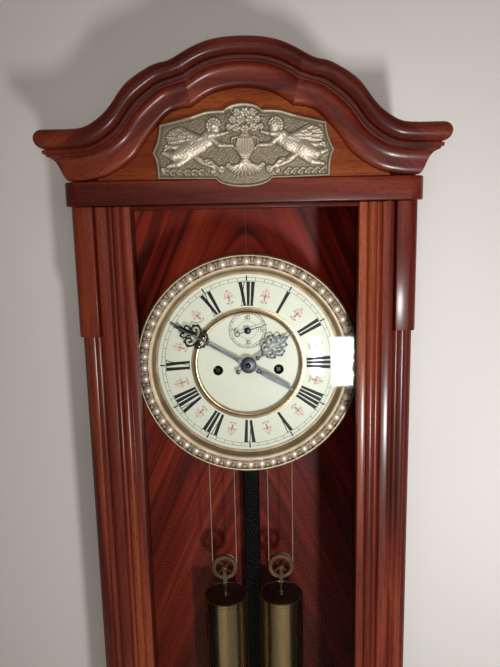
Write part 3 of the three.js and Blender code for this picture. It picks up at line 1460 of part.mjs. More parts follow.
function lineSolid(side) {
  const { radius, sides, arcSteps, run } = line;
  const x = side * pulley.x;
  const fixedEnd = pillar.lowerZ - pillar.radius - fit;
  const drumEnd = winding.z - fit;
  const loop = arc(x, pulley.z, run, run, side > 0 ? 0 : Math.PI, side > 0 ? -Math.PI : turn, arcSteps);
  const upper = new THREE.Vector2(x + side * run, fixedEnd);
  const lower = new THREE.Vector2(x - side * run, drumEnd);
  const route = [upper, ...loop, lower];
  return flatTube(route, radius, sides, pulley.depth);
}

for (const [kind, side] of [['strike', -1], ['time', 1]]) {
  add(`${kind}_weight`, 'brass', weightSolid(side * pulley.x));
  add(`${kind}_pulley`, 'brass', pulleySolid(side * pulley.x));
  add(`${kind}_line`, 'gut', lineSolid(side));
}

export default clock;
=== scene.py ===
"""Looks of a Vienna regulator wall clock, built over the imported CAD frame.

Lengths inside the sub-assemblies are millimetres: x to the right, depth out from the wall and height
from the dial centre. `place` turns them into the frame's metres.
"""

import json
import logging
from dataclasses import dataclass, field
from enum import Enum
from functools import cache, partial
from math import cos, degrees, hypot, pi, radians, sin, tau
from typing import Callable, Iterable, Sequence

import bmesh
import bpy
import numpy as np
from bpy.types import Material, Mesh, Node, NodeSocket, NodeTree, Object
from mathutils import Matrix, Vector

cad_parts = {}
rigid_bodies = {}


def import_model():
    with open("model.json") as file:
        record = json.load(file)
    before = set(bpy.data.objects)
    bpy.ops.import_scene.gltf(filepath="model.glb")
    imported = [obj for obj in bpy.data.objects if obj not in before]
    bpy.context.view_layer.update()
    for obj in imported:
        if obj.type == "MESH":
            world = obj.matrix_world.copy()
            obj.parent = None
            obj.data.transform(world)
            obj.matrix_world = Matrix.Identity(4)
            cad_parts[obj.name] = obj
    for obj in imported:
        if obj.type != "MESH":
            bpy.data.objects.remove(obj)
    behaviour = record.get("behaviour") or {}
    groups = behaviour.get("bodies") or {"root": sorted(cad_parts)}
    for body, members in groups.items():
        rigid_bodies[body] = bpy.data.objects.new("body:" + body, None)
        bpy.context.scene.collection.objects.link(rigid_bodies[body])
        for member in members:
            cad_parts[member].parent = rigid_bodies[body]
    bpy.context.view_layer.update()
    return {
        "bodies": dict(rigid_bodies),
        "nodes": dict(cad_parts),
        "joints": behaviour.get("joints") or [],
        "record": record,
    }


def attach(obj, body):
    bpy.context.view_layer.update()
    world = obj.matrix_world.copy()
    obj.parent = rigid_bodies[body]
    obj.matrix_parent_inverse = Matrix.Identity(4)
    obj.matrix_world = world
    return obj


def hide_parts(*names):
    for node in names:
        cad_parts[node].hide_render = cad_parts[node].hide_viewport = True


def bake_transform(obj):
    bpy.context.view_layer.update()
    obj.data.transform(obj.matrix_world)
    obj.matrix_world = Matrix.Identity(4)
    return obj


logging.basicConfig(level=logging.INFO, format="%(message)s")
LOG = logging.getLogger("regulator")

MM = 0.001
DIAL_HEIGHT = -125.0
TURN = tau
Point = tuple[float, float]
Triple = tuple[float, float, float]

# Places on the dial that several pieces share, in millimetres from its centre
SECONDS: Point = (0.0, 34.0)
WINDING: tuple[Point, Point] = ((30.5, -7.0), (-30.5, -7.0))

# Settings of a node that mixes two colours, and of one that multiplies them
MIX = {"data_type": "RGBA"}
MULTIPLY = {"data_type": "RGBA", "blend_type": "MULTIPLY"}


class Body(str, Enum):
    """Rigid bodies of the frame that the visual pieces ride on."""

    CASE = "case"
    DOOR = "door"
    DOOR_KNOB = "door_knob"
    TIME_WEIGHT = "time_weight"
    STRIKE_WEIGHT = "strike_weight"
    TIME_PULLEY = "time_pulley"
    STRIKE_PULLEY = "strike_pulley"
    MINUTE = "minute_arbor"
    HOUR = "hour_pipe"
    ESCAPE = "escape_arbor"
    PENDULUM = "pendulum"
    BOB = "bob"
    NUT = "rating_nut"


class Grain(Enum):
    """Direction in which a board's grain runs."""

    ACROSS = (1.0, 0.0, 0.0)
    DEEP = (0.0, 1.0, 0.0)
    UPRIGHT = (0.0, 0.0, 1.0)


def place(x: float, depth: float, height: float) -> Triple:
    """Turns clock millimetres into frame metres.

    Args:
        x: Distance to the right of the dial centre.
        depth: Distance out from the wall.
        height: Distance above the dial centre.

    Returns:
        The point in the frame, in metres.
    """
    return (x * MM, -depth * MM, (height + DIAL_HEIGHT) * MM)


def linear(code: str) -> tuple[float, float, float, float]:
    """Turns an sRGB hex code into a linear colour with full alpha."""
    parts = [int(code[i : i + 2], 16) / 255 for i in (1, 3, 5)]
    return (*[p / 12.92 if p <= 0.04045 else ((p + 0.055) / 1.055) ** 2.4 for p in parts], 1.0)


# Materials


def feed(tree: NodeTree, node: Node, inputs: dict[str | int, object]) -> None:
    """Links or sets inputs of a node.

    Args:
        tree: Tree that holds the node.
        node: Node to fill in.
        inputs: Values, output sockets, or nodes for their first output, by the input's name or number.
    """
    for key, value in inputs.items():
        if isinstance(value, Node):
            value = value.outputs[0]
        if isinstance(value, NodeSocket):
            tree.links.new(value, node.inputs[key])
        else:
            node.inputs[key].default_value = value


def add_node(tree: NodeTree, kind: str, inputs: dict[str | int, object] | None = None,
             **settings: object) -> Node:
    """Adds a node to a tree.

    Args:
        tree: Tree that gets the node.
        kind: Type of the node.
        inputs: As for `feed`.
        **settings: Properties of the node. `stops` fills a colour ramp with places and sRGB codes.

    Returns:
        The new node.
    """
    node = tree.nodes.new(kind)
    for index, (where, code) in enumerate(settings.pop("stops", ())):
        elements = node.color_ramp.elements
        element = elements[index] if index < 2 else elements.new(where)
        element.position, element.color = where, linear(code)
    for key, value in settings.items():
        setattr(node, key, value)
    feed(tree, node, inputs or {})
    return node


def blank(name: str) -> tuple[Material, NodeTree, Node]:
    """Makes an empty material.

    Args:
        name: Name of the material.

    Returns:
        The material, its tree and its principled surface.
    """
    made = bpy.data.materials.new(name)
    made.use_nodes = True
    return made, made.node_tree, made.node_tree.nodes["Principled BSDF"]


@dataclass(frozen=True)
class Wood:
    """French-polished mahogany: broad figure, 1 mm streaks and short pores under a clear coat.

    Pores of real mahogany are 0.2 mm wide. They are drawn at 0.7 mm so that a render can hold them.
    """

    name: str
    slot: str
    dark: str
    middle: str
    light: str
    grain: Grain = Grain.UPRIGHT
    lean: float = 0.0
    coat: float = 0.32
    shine: float = 0.15

    def make(self) -> Material:
        """Builds the material.

        Returns:
            The new material.
        """
        made, tree, skin = blank(self.name)
        node = partial(add_node, tree)
        place_in = node("ShaderNodeTexCoord").outputs["Object"]
        lean = (0.0, radians(self.lean), 0.0)
        where = node("ShaderNodeMapping", {"Vector": place_in, "Rotation": lean})
        long = tuple(0.05 if axis else 1.0 for axis in self.grain.value)
        short = tuple(0.14 if axis else 1.0 for axis in self.grain.value)
        grained = node("ShaderNodeMapping", {"Vector": where, "Scale": long})
        flecked = node("ShaderNodeMapping", {"Vector": where, "Scale": short})
        broad = node("ShaderNodeTexNoise",
                     {"Vector": grained, "Scale": 34.0, "Detail": 5.0, "Distortion": 0.9})
        fine = node("ShaderNodeTexNoise", {"Vector": grained, "Scale": 520.0, "Detail": 4.0})
        pores = node("ShaderNodeTexNoise", {"Vector": flecked, "Scale": 1300.0, "Detail": 2.0})
        base = node("ShaderNodeValToRGB", {"Fac": broad},
                    stops=((0.3, self.dark), (0.5, self.middle), (0.72, self.light)))
        streaks = node("ShaderNodeValToRGB", {"Fac": fine}, stops=((0.32, "#a0a0a0"), (0.6, "#ffffff")))
        flecks = node("ShaderNodeValToRGB", {"Fac": pores}, stops=((0.36, "#6a6a6a"), (0.46, "#ffffff")))
        shaded = node("ShaderNodeMix", {"Factor": 0.5, 6: base, 7: streaks}, **MULTIPLY)
        colour = node("ShaderNodeMix", {"Factor": 0.4, 6: shaded.outputs[2], 7: flecks}, **MULTIPLY)
        bump = node("ShaderNodeBump", {"Height": fine, "Strength": 0.05, "Distance": 0.0004})
        feed(tree, skin, {
            "Base Color": colour.outputs[2], "Normal": bump, "Roughness": 0.45,
            "Coat Weight": self.coat, "Coat Roughness": 0.2, "Coat IOR": 1.5,
            "Specular IOR Level": self.shine,
        })
        return made


@dataclass(frozen=True)
class Veneer:
    """Book-matched veneer: dark arches nested about a thin seam at x = 0, redder and darker on the right
    half.

    The arches are lines of equal height plus a rising share of the distance from the seam. Below the dial
    the figure fades into a darker, plainer colour: the darkening is painted shade, the dimmer light low in
    the case.
    """

    name: str
    slot: str
    stops: tuple[tuple[float, str], ...]
    rise: float = 2.3
    round_off: float = 0.022
    scale: float = 25.0
    # Tint of the right half: redder, and darker; the darkening is partly painted shade from the right stile
    right: str = "#c08a8c"
    # Colour that the lower back fades to: painted shade
    low: str = "#4c120b"
    coat: float = 0.25

    def make(self) -> Material:
        """Builds the material.

        Returns:
            The new material.
        """
        made, tree, skin = blank(self.name)
        node = partial(add_node, tree)
        where = node("ShaderNodeTexCoord").outputs["Object"]
        split = node("ShaderNodeSeparateXYZ", {0: where})
        x = split.outputs[0]
        squared = node("ShaderNodeMath", {0: x, 1: x, 2: self.round_off ** 2}, operation="MULTIPLY_ADD")
        mirror = node("ShaderNodeMath", {0: squared}, operation="SQRT")
        height = split.outputs[2]
        lift = node("ShaderNodeMath", {0: mirror, 1: self.rise, 2: height}, operation="MULTIPLY_ADD")
        joined = node("ShaderNodeCombineXYZ", {0: mirror, 1: split.outputs[1], 2: lift})
        stretch = node("ShaderNodeMapping", {"Vector": joined, "Scale": (0.22, 0.3, 1.0)})
        flame = node("ShaderNodeTexNoise",
                     {"Vector": stretch, "Scale": self.scale, "Detail": 2.5, "Distortion": 0.9})
        along = node("ShaderNodeMapping", {"Vector": joined, "Scale": (0.06, 0.3, 1.0)})
        fine = node("ShaderNodeTexNoise", {"Vector": along, "Scale": 430.0, "Detail": 4.0})
        base = node("ShaderNodeValToRGB", {"Fac": flame}, stops=self.stops)
        streaks = node("ShaderNodeValToRGB", {"Fac": fine}, stops=((0.3, "#8c8c8c"), (0.62, "#ffffff")))
        # Redder, darker right half: the darkening is partly painted shade from the right stile
        side = node("ShaderNodeMapRange", {"Value": x, "From Min": -0.06, "From Max": 0.09})
        right_tint_and_shade = node("ShaderNodeMix", {"Factor": side, 6: linear("#ffffff"), 7: linear(self.right)}, **MIX)
        # Darker towards the bottom: painted shade of the dimmer light low in the case
        sunk = node("ShaderNodeMapRange", {"Value": height, "From Min": -0.42, "From Max": -0.06})
        lower = node("ShaderNodeMix", {"Factor": sunk, 6: linear(self.low), 7: base}, **MIX)
        with_painted_low_shade = node("ShaderNodeMix", {"Factor": 0.65, 6: base, 7: lower.outputs[2]}, **MIX)
        shaded = node("ShaderNodeMix", {"Factor": 0.6, 6: with_painted_low_shade.outputs[2], 7: streaks}, **MULTIPLY)
        toned = node("ShaderNodeMix", {"Factor": 1.0, 6: shaded.outputs[2], 7: right_tint_and_shade.outputs[2]}, **MULTIPLY)
        # Thin seam line at x = 0: a real joint, painted pale grey-pink as a painted reflection in the narrow
        # gap
        flat = node("ShaderNodeMath", {0: x}, operation="ABSOLUTE")
        seam = node("ShaderNodeMath", {0: flat, 1: 0.0004}, operation="LESS_THAN")
        colour = node("ShaderNodeMix", {"Factor": seam, 6: toned.outputs[2], 7: linear("#77504a")}, **MIX)
        feed(tree, skin, {"Base Color": colour.outputs[2], "Roughness": 0.42, "Coat Weight": self.coat,
                          "Coat Roughness": 0.1, "Specular IOR Level": 0.18})
        return made


@dataclass(frozen=True)
class Metal:
    """Metal with a duller tone in clouds about 15 mm wide and fine rubbing marks.

    Past the depth of `tip`, in millimetres, the metal is dark steel: the squares of the barrel arbors.
    """

    name: str
    slot: str
    bright: str
    dull: str
    roughness: float = 0.26
    rub: float = 0.015
    stretch: Triple = (1.0, 1.0, 1.0)
    tip: float = 0.0
    metallic: float = 1.0

    def make(self) -> Material:
        """Builds the material.

        Returns:
            The new material.
        """
        made, tree, skin = blank(self.name)
        node = partial(add_node, tree)
        where = node("ShaderNodeTexCoord").outputs["Object"]
        drawn = node("ShaderNodeMapping", {"Vector": where, "Scale": self.stretch})
        cloud = node("ShaderNodeTexNoise", {"Vector": drawn, "Scale": 65.0, "Detail": 3.0})
        marks = node("ShaderNodeTexNoise", {"Vector": drawn, "Scale": 700.0, "Detail": 2.0})
        colour = node("ShaderNodeValToRGB", {"Fac": cloud}, stops=((0.3, self.dull), (0.66, self.bright)))
        if self.tip:
            depth = node("ShaderNodeSeparateXYZ", {0: where})
            past = node("ShaderNodeMath", {0: depth.outputs[1], 1: -self.tip * MM}, operation="LESS_THAN")
            colour = node("ShaderNodeMix",
                          {"Factor": past, 6: colour, 7: linear("#2e2f34")}, **MIX).outputs[2]
        rough = node("ShaderNodeMapRange", {"Value": marks, "To Min": self.roughness - 0.05,
                                            "To Max": self.roughness + 0.08})
        bump = node("ShaderNodeBump", {"Height": marks, "Strength": self.rub, "Distance": 0.0003})
        feed(tree, skin, {"Base Color": colour, "Roughness": rough, "Normal": bump,
                          "Metallic": self.metallic})
        return made


@dataclass(frozen=True)
class Relief:
    """Pressed sheet metal: bright on its crests, brown in its hollows, with a matted ground."""

    name: str
    slot: str
    hollow: str
    flank: str
    crest: str
    low: float
    high: float

    def make(self) -> Material:
        """Builds the material.

        Returns:
            The new material.
        """
        made, tree, skin = blank(self.name)
        node = partial(add_node, tree)
        where = node("ShaderNodeTexCoord").outputs["Object"]
        split = node("ShaderNodeSeparateXYZ", {0: where})
        level = node("ShaderNodeMapRange", {"Value": split.outputs[1], "From Min": -self.low * MM,
                                            "From Max": -self.high * MM})
        grime = node("ShaderNodeTexNoise", {"Vector": where, "Scale": 260.0, "Detail": 4.0})
        worn = node("ShaderNodeMath", {0: grime, 1: 0.35, 2: level}, operation="MULTIPLY_ADD")
        centred = node("ShaderNodeMath", {0: worn, 1: 0.17}, operation="SUBTRACT")
        colour = node("ShaderNodeValToRGB", {"Fac": centred},
                      stops=((0.02, self.hollow), (0.3, self.flank), (0.75, self.crest)))
        matting = node("ShaderNodeTexVoronoi", {"Vector": where, "Scale": 700.0})
        bump = node("ShaderNodeBump", {"Height": matting, "Strength": 0.3, "Distance": 0.0003})
        feed(tree, skin, {"Base Color": colour, "Normal": bump, "Metallic": 0.8, "Roughness": 0.48})
        return made


@dataclass(frozen=True)
class Plain:
    """Painted, enamelled or printed surface with a faint cloudy variation."""

    name: str
    slot: str
    base: str
    shade: str
    roughness: float = 0.3
    coat: float = 0.0

    def make(self) -> Material:
        """Builds the material.

        Returns:
            The new material.
        """
        made, tree, skin = blank(self.name)
        node = partial(add_node, tree)
        where = node("ShaderNodeTexCoord").outputs["Object"]
        cloud = node("ShaderNodeTexNoise", {"Vector": where, "Scale": 30.0, "Detail": 4.0})
        colour = node("ShaderNodeValToRGB", {"Fac": cloud}, stops=((0.3, self.shade), (0.7, self.base)))
        feed(tree, skin, {"Base Color": colour, "Roughness": self.roughness,
                          "Coat Weight": self.coat, "Coat Roughness": 0.04, "Specular IOR Level": 0.3})
        return made


@dataclass(frozen=True)
class Pane:
    """Thin clear glass: lets light straight through and mirrors a little of the room."""

    name: str
    slot: str
    mirror: float = 0.014

    def make(self) -> Material:
        """Builds the material.

        Returns:
            The new material.
        """
        made, tree, _ = blank(self.name)
        node = partial(add_node, tree)
        clear = node("ShaderNodeBsdfTransparent", {"Color": (0.97, 0.98, 0.975, 1.0)})
        shine = node("ShaderNodeBsdfGlossy", {"Roughness": 0.01})
        facing = node("ShaderNodeLayerWeight", {"Blend": 0.25})
        fresnel = facing.outputs["Fresnel"]
        amount = node("ShaderNodeMath", {0: fresnel, 1: self.mirror * 4, 2: self.mirror * 0.2},
                      operation="MULTIPLY_ADD")
        both = node("ShaderNodeMixShader", {"Fac": amount, 1: clear, 2: shine})
        feed(tree, tree.nodes["Material Output"], {"Surface": both})
        return made


@dataclass(frozen=True)
class Wall:
    """Matt painted wall that only faces the room: from behind it is clear for the rear lamp."""

    name: str
    slot: str
    base: str

    def make(self) -> Material:
        """Builds the material.

        Returns:
            The new material.
        """
        made, tree, skin = blank(self.name)
        node = partial(add_node, tree)
        feed(tree, skin, {"Base Color": linear(self.base), "Roughness": 0.9})
        behind = node("ShaderNodeNewGeometry").outputs["Backfacing"]
        shadow = node("ShaderNodeLightPath").outputs["Is Shadow Ray"]
        open_ = node("ShaderNodeMath", {0: behind, 1: shadow}, operation="MAXIMUM")
        clear = node("ShaderNodeBsdfTransparent")
        both = node("ShaderNodeMixShader", {"Fac": open_, 1: skin, 2: clear})
        feed(tree, tree.nodes["Material Output"], {"Surface": both})
        return made


MAHOGANY = ("mahogany", "#2c0b06", "#5c1c10", "#83381f")
DOOR_MAHOGANY = ("mahogany", "#43150b", "#70291a", "#944826")


class Finish(Enum):
    """Every finish in use, named for the real material."""

    # Deep red-brown polish of the case, with the grain each way that its boards run
    MAHOGANY_UPRIGHT = Wood("polished_mahogany_upright", *MAHOGANY)
    MAHOGANY_ACROSS = Wood("polished_mahogany_across", *MAHOGANY, grain=Grain.ACROSS)
    MAHOGANY_DEEP = Wood("polished_mahogany_deep", *MAHOGANY, grain=Grain.DEEP)
    # The cornice shoulders are cut with the grain along their slope, so the mitre to the crown shows
    MAHOGANY_RISING = Wood("polished_mahogany_rising", *MAHOGANY, grain=Grain.ACROSS, lean=38.0)
    MAHOGANY_FALLING = Wood("polished_mahogany_falling", *MAHOGANY, grain=Grain.ACROSS, lean=-38.0)
    # The door is a lighter, redder cut that sets it off from the case
    DOOR_UPRIGHT = Wood("door_mahogany_upright", *DOOR_MAHOGANY)
    DOOR_ACROSS = Wood("door_mahogany_across", *DOOR_MAHOGANY, grain=Grain.ACROSS)
    # Flamed back that glows red behind the dial
    FLAME = Veneer("flame_mahogany_veneer", "back_veneer",
                   ((0.35, "#5c150b"), (0.47, "#912714"), (0.58, "#ae371a"), (0.7, "#bd4d24")))
    # Orange-brown field under the arch
    FIELD = Wood("tympanum_mahogany", "tympanum_veneer", "#44180a", "#703014", "#8c4820",
                 grain=Grain.ACROSS, coat=0.2)
    # Pinkish-tan brass of the bezel, pulleys and bob, gone dull with age
    BRASS = Metal("polished_brass", "brass", "#c6b290", "#a58f72", 0.3)
    # The broad cove of the bezel is matt and browner, so the beads stand out bright beside it
    MATT_BRASS = Metal("matt_brass", "brass", "#c6b194", "#ab9579", 0.52)
    # Eggs and leaves are pale, part-metal brass whose pale diffuse colour is painted sheen, over a darker
    # channel
    BEAD_BRASS = Metal("bead_brass_painted_sheen", "brass", "#eddfd0", "#d3c0ac", 0.42, metallic=0.6)
    DARK_BRASS = Metal("dark_channel_brass", "brass", "#7c6650", "#55432f", 0.45)
    # Weight pulleys and stirrups have browned
    AGED_BRASS = Metal("aged_brass", "brass", "#9a7a60", "#664c3a", 0.32)
    # Pale pressed plaque with brown hollows
    PRESSED = Relief("pressed_brass", "pressed_brass", "#796d5a", "#a39882", "#d2c7b2", 186.9, 191.4)
    # Weight tubes: upright polishing marks draw the reflections into streaks; the bright and dull colour
    # clouds are stretched upright too, as painted reflection streaks
    TUBE = Metal("weight_brass_tube", "weight_brass", "#c9b389", "#7d6a48", 0.24, 0.1, (1.0, 1.0, 0.02))
    CAP = Metal("weight_cap_brass", "weight_brass", "#4a3628", "#2e2018", 0.38)
    # Satin brass of the wheels and plates, and of the barrels, whose winding squares are steel
    TRAIN = Metal("train_brass", "movement_brass", "#c9ab62", "#a5874a", 0.32)
    BARREL = Metal("barrel_brass", "movement_brass", "#c9ab62", "#a5874a", 0.32, tip=112.0)
    # Slate-grey hands and steel work; the minute hand's openwork has gone nearly black
    STEEL = Metal("hand_steel", "steel", "#6c6f76", "#4a4c52", 0.42)
    BURNT = Metal("burnt_steel", "steel", "#3a3432", "#201c1c", 0.45)
    BLUED = Metal("blued_steel", "blued_steel", "#3b3d4a", "#26272f", 0.34)
    IRON = Plain("black_iron", "iron", "#2c2c2e", "#1a1a1b", 0.5)
    # Cool cream enamel with black, grey and pink printing
    ENAMEL = Plain("cream_enamel", "enamel", "#dcdfce", "#d6d9c7", 0.35, 0.3)
    PRINT = Plain("black_print", "enamel", "#14141a", "#0b0b10", 0.5)
    FINE_PRINT = Plain("grey_print", "enamel", "#6e7073", "#5e6064", 0.5)
    SPRIG = Plain("pink_print", "enamel", "#dcb8ab", "#cfa597", 0.5)
    EBONY = Wood("ebonised_pearwood", "ebony", "#050405", "#0a0809", "#120e0f", coat=0.06, shine=0.03)
    GUT = Plain("gut_line", "gut", "#a48c7a", "#7a6454", 0.6)
    GLASS = Pane("door_pane", "glass")
    WALL = Wall("matt_wall_paint", "", "#e0dbd7")
    FLOOR = Wall("matt_floor_paint", "", "#d8d3ce")


@cache
def material(finish: Finish) -> Material:
    """Gives the material of a finish, built on first use."""
    return finish.value.make()


# Meshes


@dataclass
class Shell:
    """Vertices in clock millimetres and the faces between them."""

    verts: list[Triple] = field(default_factory=list)
    faces: list[tuple[int, ...]] = field(default_factory=list)

    def moved(self, change: Callable[[Triple], Triple]) -> "Shell":
        """Returns a copy with every vertex passed through a function."""
        return Shell([change(v) for v in self.verts], list(self.faces))


def loft(rings: Sequence[Sequence[Triple]], closed: bool = True, caps: bool = True,
         round_trip: bool = False) -> Shell:
    """Skins a row of rings.

    Args:
        rings: Rings with the same number of points each.
        closed: Whether each ring is a closed loop.
        caps: Whether the first and last ring are filled.
        round_trip: Whether the last ring joins the first one.

    Returns:
        The skin as a shell.
    """
    count = len(rings[0])
    shell = Shell([tuple(map(float, p)) for ring in rings for p in ring])
    spans = len(rings) if round_trip else len(rings) - 1
    for r in range(spans):
        low, high = r * count, ((r + 1) % len(rings)) * count
        for i in range(count if closed else count - 1):
            j = (i + 1) % count
            shell.faces.append((low + i, low + j, high + j, high + i))
    if caps and closed and not round_trip:
        last = (len(rings) - 1) * count
        shell.faces.append(tuple(reversed(range(count))))
        shell.faces.append(tuple(last + i for i in range(count)))
    return shell


def arc(cx: float, cy: float, rx: float, ry: float, start: float, end: float, steps: int) -> list[Point]:
    """Points on an ellipse between two angles.

    Args:
        cx: Centre across.
        cy: Centre up.
        rx: Half width.
        ry: Half height.
        start: First angle in radians.
        end: Last angle in radians.
        steps: Number of steps between them.

    Returns:
        The points, with both ends.
    """
    angles = [start + (end - start) * i / steps for i in range(steps + 1)]
    return [(cx + rx * cos(a), cy + ry * sin(a)) for a in angles]


def catmull(points: Sequence[Point], steps: int) -> list[Point]:
    """Samples a smooth curve through points, evenly in its parameter.

    Args:
        points: Points that the curve passes through.
        steps: Number of steps along the whole curve.

    Returns:
        The points on the curve, with both ends.
    """
    result = []
    last = len(points) - 1
    for k in range(steps + 1):
        where = last * k / steps
        i = min(int(where), last - 1)
        t = where - i
        a, b, c, d = (points[max(i - 1, 0)], points[i], points[i + 1], points[min(i + 2, last)])
        result.append(tuple(
            0.5 * (2 * b[n] + (c[n] - a[n]) * t + (2 * a[n] - 5 * b[n] + 4 * c[n] - d[n]) * t * t
                   + (3 * b[n] - a[n] - 3 * c[n] + d[n]) * t ** 3)
            for n in (0, 1)
        ))
    return result


def turned_forward(pairs: Sequence[Point], x: float, height: float, segments: int,
                   closed: bool = False) -> Shell:
    """Turns a profile about an axis that runs out from the wall.

    Args:
        pairs: Depth and radius of each point of the profile.
        x: Place of the axis across.
        height: Height of the axis.
        segments: Facets round the axis.
        closed: Whether the profile is a closed loop.

    Returns:
        The turned shell.
    """
    rings = [
        [(x + r * cos(a), depth, height + r * sin(a)) for depth, r in pairs]
        for a in (TURN * i / segments for i in range(segments))
    ]
    return loft(rings, closed=closed, caps=False, round_trip=True)


def turned_upright(pairs: Sequence[Point], x: float, depth: float, segments: int) -> Shell:
    """Turns a profile about an upright axis.

    Args:
        pairs: Height and radius of each point of the profile.
        x: Place of the axis across.
        depth: Depth of the axis.
        segments: Facets round the axis.

    Returns:
        The turned shell.
    """
    rings = [
        [(x + r * cos(a), depth + r * sin(a), z) for z, r in pairs]
        for a in (TURN * i / segments for i in range(segments))
    ]
    return loft(rings, closed=False, caps=False, round_trip=True)


def tube(route: Sequence[Triple], radius: float, sides: int = 8, closed: bool = False,
         flat: float = 1.0) -> Shell:
    """Round bar along a route.

    Args:
        route: Points in clock millimetres.
        radius: Radius of the bar.
        sides: Facets round the bar.
        closed: Whether the route returns to its start.
        flat: Share by which the bar is thinned in depth.

    Returns:
        The bar as a shell.
    """
    pts = [Vector(p) for p in route]
    rings = []
    for i, p in enumerate(pts):
        before = pts[(i - 1) % len(pts)] if closed or i > 0 else p
        after = pts[(i + 1) % len(pts)] if closed or i + 1 < len(pts) else p
        along = (after - before).normalized()
        out = Vector((0, 1, 0)) if abs(along.y) < 0.9 else Vector((1, 0, 0))
        side = along.cross(out).normalized()
        out = side.cross(along).normalized()
        rings.append([
            tuple(p + side * (radius * cos(a)) + out * (radius * flat * sin(a)))
            for a in (TURN * k / sides for k in range(sides))
        ])
    return loft(rings, round_trip=closed, caps=not closed)


def extruded(loops: Sequence[Sequence[Point]], rear: float, front: float) -> Shell:
    """Fills a flat outline that has holes and gives it thickness.

    Args:
        loops: The outline and its holes, in x and height.
        rear: Depth of its back.
        front: Depth of its face.

    Returns:
        The plate as a shell.
    """
    curve = bpy.data.curves.new("outline", "CURVE")
    curve.dimensions = "2D"
    curve.fill_mode = "BOTH"
    curve.extrude = (front - rear) / 2
    for loop in loops:
        line = curve.splines.new("POLY")
        line.points.add(len(loop) - 1)
        for point, (x, y) in zip(line.points, loop):
            point.co = (x, y, 0.0, 1.0)
        line.use_cyclic_u = True
    holder = bpy.data.objects.new("outline", curve)
    bpy.context.scene.collection.objects.link(holder)
    mesh = bpy.data.meshes.new_from_object(holder.evaluated_get(bpy.context.evaluated_depsgraph_get()))
    middle = (rear + front) / 2
    shell = Shell([(v.co.x, middle + v.co.z, v.co.y) for v in mesh.vertices],
                  [tuple(p.vertices) for p in mesh.polygons])
    bpy.data.objects.remove(holder)
    bpy.data.curves.remove(curve)
    bpy.data.meshes.remove(mesh)
    return shell


def ball(x: float, depth: float, height: float, radii: Triple, rings: int = 8, segments: int = 12) -> Shell:
    """Ellipsoid about a point.

    Args:
        x: Place of its centre across.
        depth: Depth of its centre.
        height: Height of its centre.
        radii: Half its width, depth and height.
        rings: Steps from pole to pole.
        segments: Facets round it.

    Returns:
        The ellipsoid as a shell.
    """
    pairs = [(cos(pi * i / rings), sin(pi * i / rings)) for i in range(rings + 1)]
    unit = turned_upright(pairs, 0.0, 0.0, segments)
    return unit.moved(lambda v: (x + v[0] * radii[0], depth + v[1] * radii[1], height + v[2] * radii[2]))


def prism(outline: Sequence[Point], rear: float, front: float) -> Shell:
    """Gives a simple outline in x and height a thickness in depth."""
    return loft([[(x, d, z) for x, z in outline] for d in (rear, front)])


def post(plan: Sequence[Point], low: float, high: float) -> Shell:
    """Runs a plan of x and depth upright."""
    return loft([[(x, d, z) for x, d in plan] for z in (low, high)])


def beam(section: Sequence[Point], start: float, end: float) -> Shell:
    """Runs a section of depth and height across."""
    return loft([[(x, d, z) for d, z in section] for x in (start, end)])


def joined(*shells: Shell) -> Shell:
    """Puts shells together.

    Returns:
        One shell that holds them all.
    """
    whole = Shell()
    for shell in shells:
        start = len(whole.verts)
        whole.verts.extend(shell.verts)
        whole.faces.extend(tuple(i + start for i in face) for face in shell.faces)
    return whole


def clean(mesh: Mesh, crease: float) -> None:
    """Welds doubled points, turns faces outwards and smooths all but the sharper edges.

    Args:
        mesh: Mesh to clean.
        crease: Angle in degrees above which an edge stays sharp.
    """
    work = bmesh.new()
    work.from_mesh(mesh)
    bmesh.ops.remove_doubles(work, verts=work.verts, dist=1e-6)
    bmesh.ops.dissolve_degenerate(work, edges=work.edges, dist=1e-7)
    bmesh.ops.recalc_face_normals(work, faces=work.faces)
    work.to_mesh(mesh)
    work.free()
    mesh.shade_smooth()
    mesh.set_sharp_from_angle(angle=radians(crease))


def enter(name: str, mesh: Mesh) -> Object:
    """Puts a mesh into the scene.

    Args:
        name: Name of the object.
        mesh: Its mesh.

    Returns:
        The new object, at the origin.
    """
    obj = bpy.data.objects.new(name, mesh)
    bpy.context.scene.collection.objects.link(obj)
    return obj


def frozen(obj: Object) -> Mesh:
    """Applies an object's modifiers and removes the object.

    Args:
        obj: Object with the modifiers.

    Returns:
        The mesh that they make.
    """
    made = bpy.data.meshes.new_from_object(obj.evaluated_get(bpy.context.evaluated_depsgraph_get()))
    bpy.data.objects.remove(obj)
    return made


def stand(name: str, shell: Shell, finish: Finish, crease: float = 32.0,
          soften: float = 0.0) -> Object:
    """Makes an object out of a shell, with its place in the mesh.

    Args:
        name: Name of the object.
        shell: Shape in clock millimetres.
        finish: Finish of its surface.
        crease: Angle in degrees above which an edge stays sharp.
        soften: Width in millimetres of the rounding on sharp edges, or zero for none.

    Returns:
        The new object.
    """
    mesh = bpy.data.meshes.new(name)
    mesh.from_pydata([place(*v) for v in shell.verts], [], shell.faces)
    mesh.update()
    clean(mesh, crease)
    if soften:
        raw = enter(f"{name}_raw", mesh)
        rounding = raw.modifiers.new("rounding", "BEVEL")
        rounding.width = soften * MM
        rounding.segments = 3
        rounding.limit_method = "ANGLE"
        rounding.angle_limit = radians(crease)
        mesh = frozen(raw)
        mesh.shade_smooth()
        mesh.set_sharp_from_angle(angle=radians(crease + 8))
    mesh.materials.clear()
    mesh.materials.append(material(finish))
    return enter(name, mesh)


